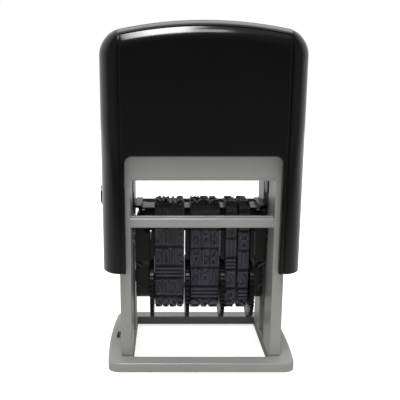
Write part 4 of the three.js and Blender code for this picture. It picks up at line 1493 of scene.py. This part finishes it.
@dataclass
class DateBelt:
    """One rubber belt with its raised characters, and the toothed wheel that sets it."""

    name: str
    left: float
    right: float
    flange_side: int
    start: float
    rows: tuple[str, ...]
    half_depth: float = 4.0
    thickness: float = 0.8
    top: float = 32.85
    corner: float = 1.4
    axle_height: float = 13.7
    bars_length: float = 2.56
    pad_height: float = 0.16
    character_height: float = 0.6
    character_slope: float = 0.14
    groove_half_width: float = 0.2
    groove_depth: float = 0.3
    wheel_radius: float = 6.95
    teeth: int = 44
    tooth_depth: float = 0.5
    flange: float = 0.8
    hub_radius: float = 2.9
    bore: float = 1.2
    steps: int = 176
    edge_drop: float = 0.1
    wheel_gap: float = 0.2
    tooth_taper: float = 0.62

    @property
    def loop(self) -> float:
        """Give the belt's length round its base surface."""
        flat = self.half_depth - self.corner
        side = self.top - self.corner - self.axle_height
        return 2 * flat + 2 * side + math.pi * (self.corner + self.half_depth)

    @property
    def pitch(self) -> float:
        """Give the length of a row of characters."""
        bars = self.rows.count("=")
        return (self.loop - bars * self.bars_length) / (len(self.rows) - bars)

    def at(self, distance: float, out: float) -> Flat:
        """Give the place on the belt at a distance from the top's middle towards the front.

        Args:
            distance: The distance along the base surface.
            out: The height above the base surface.

        Returns:
            The place in y and z.
        """
        flat = self.half_depth - self.corner
        bend = math.pi / 2 * self.corner
        side = self.top - self.corner - self.axle_height
        high = self.top - self.corner
        rest = distance % self.loop
        if rest > self.loop / 2:
            y, z = self.at(self.loop - rest, out)
            return (-y, z)
        if rest < flat:
            return (-rest, self.top + out)
        rest -= flat
        if rest < bend:
            turn, reach = rest / self.corner, self.corner + out
            return (-flat - reach * math.sin(turn), high + reach * math.cos(turn))
        rest -= bend
        if rest < side:
            return (-self.half_depth - out, high - rest)
        turn, reach = (rest - side) / self.half_depth, self.half_depth + out
        return (-reach * math.cos(turn), self.axle_height - reach * math.sin(turn))

    def row_spans(self) -> list[tuple[float, float, str]]:
        """List each row's start, length and label along the belt.

        Returns:
            The rows in the order of the belt's travel.
        """
        spans = []
        reached = self.start
        for label in self.rows:
            length = self.bars_length if label == "=" else self.pitch
            spans.append((reached, length, label))
            reached += length
        return spans

    def band(self) -> Piece:
        """Model the closed band, with a groove between each two rows' pads.

        Returns:
            The band.
        """
        edges = [start % self.loop for start, _, _ in self.row_spans()]
        marks = {}
        for i in range(self.steps):
            distance = i * self.loop / self.steps
            gap = min(abs((distance - e + self.loop / 2) % self.loop - self.loop / 2)
                      for e in edges)
            if gap > 0.42:
                marks[distance] = self.pad_height
        for edge in edges:
            half = self.groove_half_width
            for offset, height in ((-half - 0.1, self.pad_height), (-half, -self.groove_depth),
                                   (half, -self.groove_depth), (half + 0.1, self.pad_height)):
                marks[(edge + offset) % self.loop] = height
        places = sorted(marks.items())
        soft = self.edge_drop

        def ring(x: float, lift: float) -> list[Point]:
            """Give the band's outer ring at a place across, lifted or sunk."""
            return [(x, *self.at(d, h + lift)) for d, h in places]

        inner = [[(x, *self.at(d, -self.thickness)) for d, _ in places]
                 for x in (self.right, self.left)]
        rings = [ring(self.left, -soft), ring(self.left + soft, 0), ring(self.right - soft, 0),
                 ring(self.right, -soft), *inner, ring(self.left, -soft)]
        band = Piece.loft(f"{self.name}_belt_rubber", rings)
        return band.weld_points().close(recalculate=True)

    def flat_row(self, label: str, length: float) -> Piece:
        """Model a row's artwork lying flat: raised characters, or three bars.

        Args:
            label: The characters, or = for the bars.
            length: The row's length along the belt.

        Returns:
            A piece with x across the belt, y along it and its top at z = 1 mm.
        """
        wide = self.right - self.left - 0.35
        if label == "=":
            bars = [Piece.block("bar", (-wide / 2, y - 0.2, 0), (wide / 2, y + 0.2, 1))
                    for y in (-0.76, 0, 0.76)]
            return self.slope_sides(bars[0].merge(*bars[1:]))
        clear_selection()
        bpy.ops.object.text_add()
        text = bpy.context.active_object
        text.data.body = label
        text.data.extrude = 0.5
        text.data.resolution_u = 3
        bpy.ops.object.convert(target="MESH")
        row = Piece(bpy.context.active_object, "row")
        corners = [Vector(v.co) for v in row.shape.data.vertices]
        low = [min(c[k] for c in corners) for k in range(3)]
        high = [max(c[k] for c in corners) for k in range(3)]
        tall = length - 0.75
        across = wide
        if len(label) == 1:
            across = min(wide, (high[0] - low[0]) * tall / (high[1] - low[1]))
        for vertex, corner in zip(row.shape.data.vertices, corners):
            share = [(corner[k] - low[k]) / (high[k] - low[k]) for k in range(3)]
            vertex.co = Vector(((share[0] - 0.5) * across, (share[1] - 0.5) * tall, share[2])) * MM
        row.weld_points(0.001)
        for i in range(-3, 4):
            bpy.ops.mesh.select_all(action="SELECT")
            bpy.ops.mesh.bisect(plane_co=(0, i * tall / 8 * MM, 0), plane_no=(0, 1, 0))
        return self.slope_sides(row.close())

    def slope_sides(self, row: Piece) -> Piece:
        """Spread a row's artwork at its foot, so that its sides slope as moulded rubber does.

        Args:
            row: The row, lying flat.

        Returns:
            The row.
        """
        mesh = row.shape.data
        mesh.update()
        pushes = [Vector() for _ in mesh.vertices]
        for face in mesh.polygons:
            if abs(face.normal.z) < 0.5:
                for corner in face.vertices:
                    pushes[corner] += face.normal
        for vertex, push in zip(mesh.vertices, pushes):
            if vertex.co.z < 0.5 * MM and push.length > 0.1:
                vertex.co += push.normalized() * self.character_slope * MM
        return row

    def wrap(self, row: Piece, middle: float) -> Piece:
        """Lay a flat row on the belt, its top towards the belt's travel over the front edge.

        Args:
            row: The row, lying flat.
            middle: The distance of its middle along the belt.

        Returns:
            The row.
        """
        across = (self.left + self.right) / 2
        for vertex in row.shape.data.vertices:
            x, y, z = vertex.co / MM
            out = self.pad_height - 0.06 + z * (self.character_height - self.pad_height + 0.06)
            vertex.co = Vector((across + x, *self.at(middle + y, out))) * MM
        row.open(Elements.FACE)
        return row.close(recalculate=True)

    def belt(self) -> None:
        """Model and dress the belt."""
        band = self.band()
        rows = [self.wrap(self.flat_row(label, length), start + length / 2)
                for start, length, label in self.row_spans()]
        band.merge(*rows).smooth(30)
        band.finish(BELT_RUBBER, Body.CRADLE.value, f"{self.name}_belt")

    def wheel(self) -> None:
        """Model and dress the setting wheel: a toothed flange beside the belt, and its hub."""
        before = self.flange_side < 0
        near = self.right + self.wheel_gap
        if before:
            near = self.left - self.wheel_gap - self.flange
        root = self.wheel_radius - self.tooth_depth
        disc = Piece.rod(f"{self.name}_wheel_toothed", Axis.X, root, (near, 0, self.axle_height),
                         self.flange, 2 * self.teeth)
        step = math.pi / self.teeth

        def on_tooth(centre: Vector, normal: Vector) -> bool:
            """Tell whether a face of the rim lies where a tooth stands."""
            if abs(normal.x) > 0.5:
                return False
            turn = math.atan2(centre.z - self.axle_height, centre.y) % (2 * step)
            return turn < step

        disc.pick(Elements.FACE, on_tooth)
        bpy.ops.mesh.extrude_region_shrink_fatten(
            TRANSFORM_OT_shrink_fatten={"value": self.tooth_depth * MM})
        disc.close()
        mesh = disc.shape.data
        for vertex in mesh.vertices:
            y, z = vertex.co.y / MM, vertex.co.z / MM - self.axle_height
            if math.hypot(y, z) > root + self.tooth_depth / 2:
                turn = math.atan2(z, y)
                middle = (math.floor(turn / (2 * step)) * 2 + 0.5) * step
                narrowed = middle + (turn - middle) * self.tooth_taper
                vertex.co.y = self.wheel_radius * math.cos(narrowed) * MM
                vertex.co.z = (self.axle_height + self.wheel_radius * math.sin(narrowed)) * MM
        disc.modify("BEVEL", width=0.05 * MM, segments=1, limit_method="ANGLE",
                    angle_limit=math.radians(40))
        start = near + 0.3 if before else self.left
        end = self.right if before else near + 0.5
        disc.weld(Piece.rod("hub", Axis.X, self.hub_radius, (start, 0, self.axle_height),
                            end - start))
        disc.cut(Piece.rod("bore", Axis.X, self.bore, (self.left - 2, 0, self.axle_height),
                           self.right - self.left + 4, 32))
        disc.smooth(35)
        disc.finish(WHEEL_PLASTIC, f"{self.name}_wheel_body", f"{self.name}_wheel")

    def build(self) -> None:
        """Model and dress the belt and its wheel."""
        self.belt()
        self.wheel()


@dataclass(frozen=True)
class Softbox:
    """A level rectangular light overhead: its corners in x and y, and its watts per m2."""

    name: str
    low: Flat
    high: Flat
    brightness: float
    shows: Shows = Shows.ALL

    def hang(self, height: float) -> None:
        """Hang the light at a height, facing down.

        Args:
            height: The height in millimetres.
        """
        lamp = bpy.data.lights.new(self.name, "AREA")
        lamp.shape = "RECTANGLE"
        lamp.size, lamp.size_y = ((b - a) * MM for a, b in zip(self.low, self.high))
        lamp.energy = self.brightness * lamp.size * lamp.size_y
        holder = bpy.data.objects.new(self.name, lamp)
        bpy.context.collection.objects.link(holder)
        middle = [(a + b) / 2 for a, b in zip(self.low, self.high)]
        holder.location = Vector((*middle, height)) * MM
        holder.visible_diffuse = self.shows is not Shows.GLOSS
        holder.visible_glossy = self.shows is not Shows.MATT


@dataclass
class Studio:
    """The floor, the lights, the surroundings and the camera."""

    camera_place: Point = (-7.09, -115.32, 56.77)
    camera_dip: float = 0.203
    lens: float = 49.457
    shift: float = 0.0835
    floor_reach: Point = (420.0, -260.0, 600.0)
    floor_span: Flat = (-2.0, -0.02)
    floor_tone: float = 0.8
    seen_glow: float = 0.64
    mirrored_fade: tuple[float, float, float, float] = (-0.14, 0.16, 0.14, 0.9)
    ambient: float = 0.62
    mirrored_up: tuple[Flat, ...] = (
        (0.0, 0.2), (0.44, 0.17), (0.51, 0.1), (0.9, 0.07), (0.93, 0.3), (1.0, 0.4))
    mirrored_back: tuple[Flat, ...] = (
        (0.0, 0.0), (0.06, 0.0), (0.16, 0.1), (0.48, 0.06), (0.6, 0.3), (0.8, 0.45), (1.0, 0.5))
    lamp_height: float = 500.0
    lamps: tuple[Softbox, ...] = (
        Softbox("key", (-85, -322), (4, -62), 66.0, Shows.GLOSS),
        Softbox("key_left_part", (-112, -322), (-85, -62), 42.0, Shows.GLOSS),
        Softbox("key_left_end", (-137, -322), (-112, -62), 18.0, Shows.GLOSS),
        Softbox("key_lower_end", (4, -320), (78, -205), 22.0, Shows.GLOSS),
        Softbox("key_upper_end", (4, -165), (28, -62), 20.0, Shows.GLOSS),
        Softbox("front", (-150, -322), (40, -62), 27.0, Shows.MATT),
        Softbox("top", (-260, 100), (260, 480), 6.5),
    )

    def floor(self) -> None:
        """Lay a plain pale floor, which keeps the object's shadow."""
        wide, front, back = self.floor_reach
        low, high = self.floor_span
        floor = Piece.block("floor", (-wide, front, low), (wide, back, high)).shape
        pale = bpy.data.materials.new("pale_floor")
        tree = Tree(pale)
        tree.nodes.remove(tree.nodes["Principled BSDF"])
        path = tree.add("ShaderNodeLightPath")
        matt = tree.add("ShaderNodeBsdfDiffuse", {"Color": (*[self.floor_tone] * 3, 1)})
        seen = tree.add("ShaderNodeMath", {0: path.outputs["Is Camera Ray"], 1: self.seen_glow})
        seen.operation = "MULTIPLY"
        glow = tree.add("ShaderNodeEmission", {"Strength": seen.outputs["Value"]})
        both = tree.add("ShaderNodeAddShader", {
            0: matt.outputs["BSDF"], 1: glow.outputs["Emission"]})
        sheen = tree.add("ShaderNodeEmission", {"Strength": self.mirrored_level(tree)})
        shown = tree.add("ShaderNodeMixShader", {
            "Fac": path.outputs["Is Glossy Ray"], 1: both.outputs["Shader"],
            2: sheen.outputs["Emission"]})
        tree.feed(tree.nodes["Material Output"], {"Surface": shown.outputs["Shader"]})
        floor.data.materials.append(pale)

    def mirrored_level(self, tree: Tree) -> bpy.types.NodeSocket:
        """Give how bright the floor is in gloss: white behind the object and dim in front.

        Args:
            tree: The floor material's tree.

        Returns:
            The level.
        """
        place = tree.add("ShaderNodeTexCoord")
        split = tree.add("ShaderNodeSeparateXYZ", {"Vector": place.outputs["Object"]})
        labels = ("From Min", "From Max", "To Min", "To Max")
        return tree.add("ShaderNodeMapRange", {
            "Value": split.outputs["Y"], **dict(zip(labels, self.mirrored_fade)),
        }).outputs["Result"]

    @staticmethod
    def ramp(tree: Tree, share: bpy.types.NodeSocket,
             stops: tuple[Flat, ...]) -> bpy.types.NodeSocket:
        """Make a grey ramp.

        Args:
            tree: The tree to make it in.
            share: What it is read with.
            stops: Each stop's position and level.

        Returns:
            The ramp's colour.
        """
        made = tree.add("ShaderNodeValToRGB", {"Fac": share})
        band = made.color_ramp
        for element, (position, level) in zip(band.elements, (stops[0], stops[-1])):
            element.position = position
            element.color = (level, level, level, 1)
        for position, level in stops[1:-1]:
            band.elements.new(position).color = (level, level, level, 1)
        return made.outputs["Color"]

    def surroundings(self) -> None:
        """Make the world: white for the camera, and for gloss dim in front and pale behind."""
        world = bpy.data.worlds.new("studio")
        bpy.context.scene.world = world
        tree = Tree(world)
        plain = tree.feed(tree.nodes["Background"], {"Color": WHITE, "Strength": self.ambient})
        white = tree.add("ShaderNodeBackground", {"Color": WHITE})
        place = tree.add("ShaderNodeTexCoord")
        split = tree.add("ShaderNodeSeparateXYZ", {"Vector": place.outputs["Generated"]})
        levels = []
        for axis, stops in (("Z", self.mirrored_up), ("Y", self.mirrored_back)):
            spread = tree.add("ShaderNodeMapRange", {
                "Value": split.outputs[axis], "From Min": -1.0})
            levels.append(self.ramp(tree, spread.outputs["Result"], stops))
        total = tree.add("ShaderNodeMix")
        total.data_type = "RGBA"
        total.blend_type = "ADD"
        tree.feed(total, {"Factor": 1.0, 6: levels[0], 7: levels[1]})
        mirrored_world = tree.add("ShaderNodeBackground", {"Color": total.outputs[2]})
        path = tree.add("ShaderNodeLightPath")
        shown = plain.outputs["Background"]
        for ray, other in (("Is Glossy Ray", mirrored_world), ("Is Transmission Ray", white),
                           ("Is Camera Ray", white)):
            shown = tree.add("ShaderNodeMixShader", {
                "Fac": path.outputs[ray], 1: shown, 2: other.outputs["Background"],
            }).outputs["Shader"]
        tree.feed(tree.nodes["World Output"], {"Surface": shown})

    def camera(self) -> None:
        """Place the camera at the photograph's view."""
        view = bpy.data.cameras.new("view")
        view.lens = self.lens
        view.sensor_width = 36
        view.shift_x = self.shift
        view.clip_start = 0.005
        holder = bpy.data.objects.new("view", view)
        bpy.context.collection.objects.link(holder)
        holder.location = Vector(self.camera_place) * MM
        holder.rotation_euler = (math.pi / 2 - self.camera_dip, 0, 0)
        bpy.context.scene.camera = holder

    def build(self) -> None:
        """Set up the studio."""
        self.floor()
        self.surroundings()
        for lamp in self.lamps:
            lamp.hang(self.lamp_height)
        self.camera()
        bpy.context.scene.view_settings.view_transform = "Standard"


@dataclass
class DateStamp:
    """The whole stamp, from the base up."""

    belts: list[DateBelt] = field(default_factory=lambda: [
        DateBelt("year", -9.6, -3.38, -1, -0.41,
                 ("2018", "2017", "2016", "2015", "=", "2027", "2026", "2025", "2024",
                  "2023", "2022", "2021", "2020", "2019")),
        DateBelt("month", -2.08, 4.02, -1, -0.04,
                 ("JUL", "JUN", "MAR", "APR", "MAY", "=", "DEC", "NOV", "OCT", "SEP",
                  "AUG", "JAN", "FEB", "MAR")),
        DateBelt("day_tens", 5.32, 7.64, -1, 2.02,
                 ("2", "0", "1", "=", "2", "3", "0", "1", "2", "3", "0", "1", "2", "3")),
        DateBelt("day_units", 7.94, 10.3, 1, 0.46,
                 ("6", "5", "8", "1", "2", "=", "9", "0", "7", "8", "6", "5", "4", "3")),
    ])

    def build(self) -> None:
        """Model and dress every sub-assembly in order."""
        parts = [BasePlate(), Frame(), Cap(), CapFittings(), ReturnSprings(), PadCartridge(),
                 Cradle(), *self.belts]
        for part in parts:
            LOG.info("building %s", type(part).__name__)
            part.build()


def main() -> None:
    """Load the frame, and build the stamp and its studio."""
    logging.basicConfig(level=logging.INFO, format="%(name)s: %(message)s")
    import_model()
    DateStamp().build()
    Studio().build()


if __name__ == "__main__":
    main()
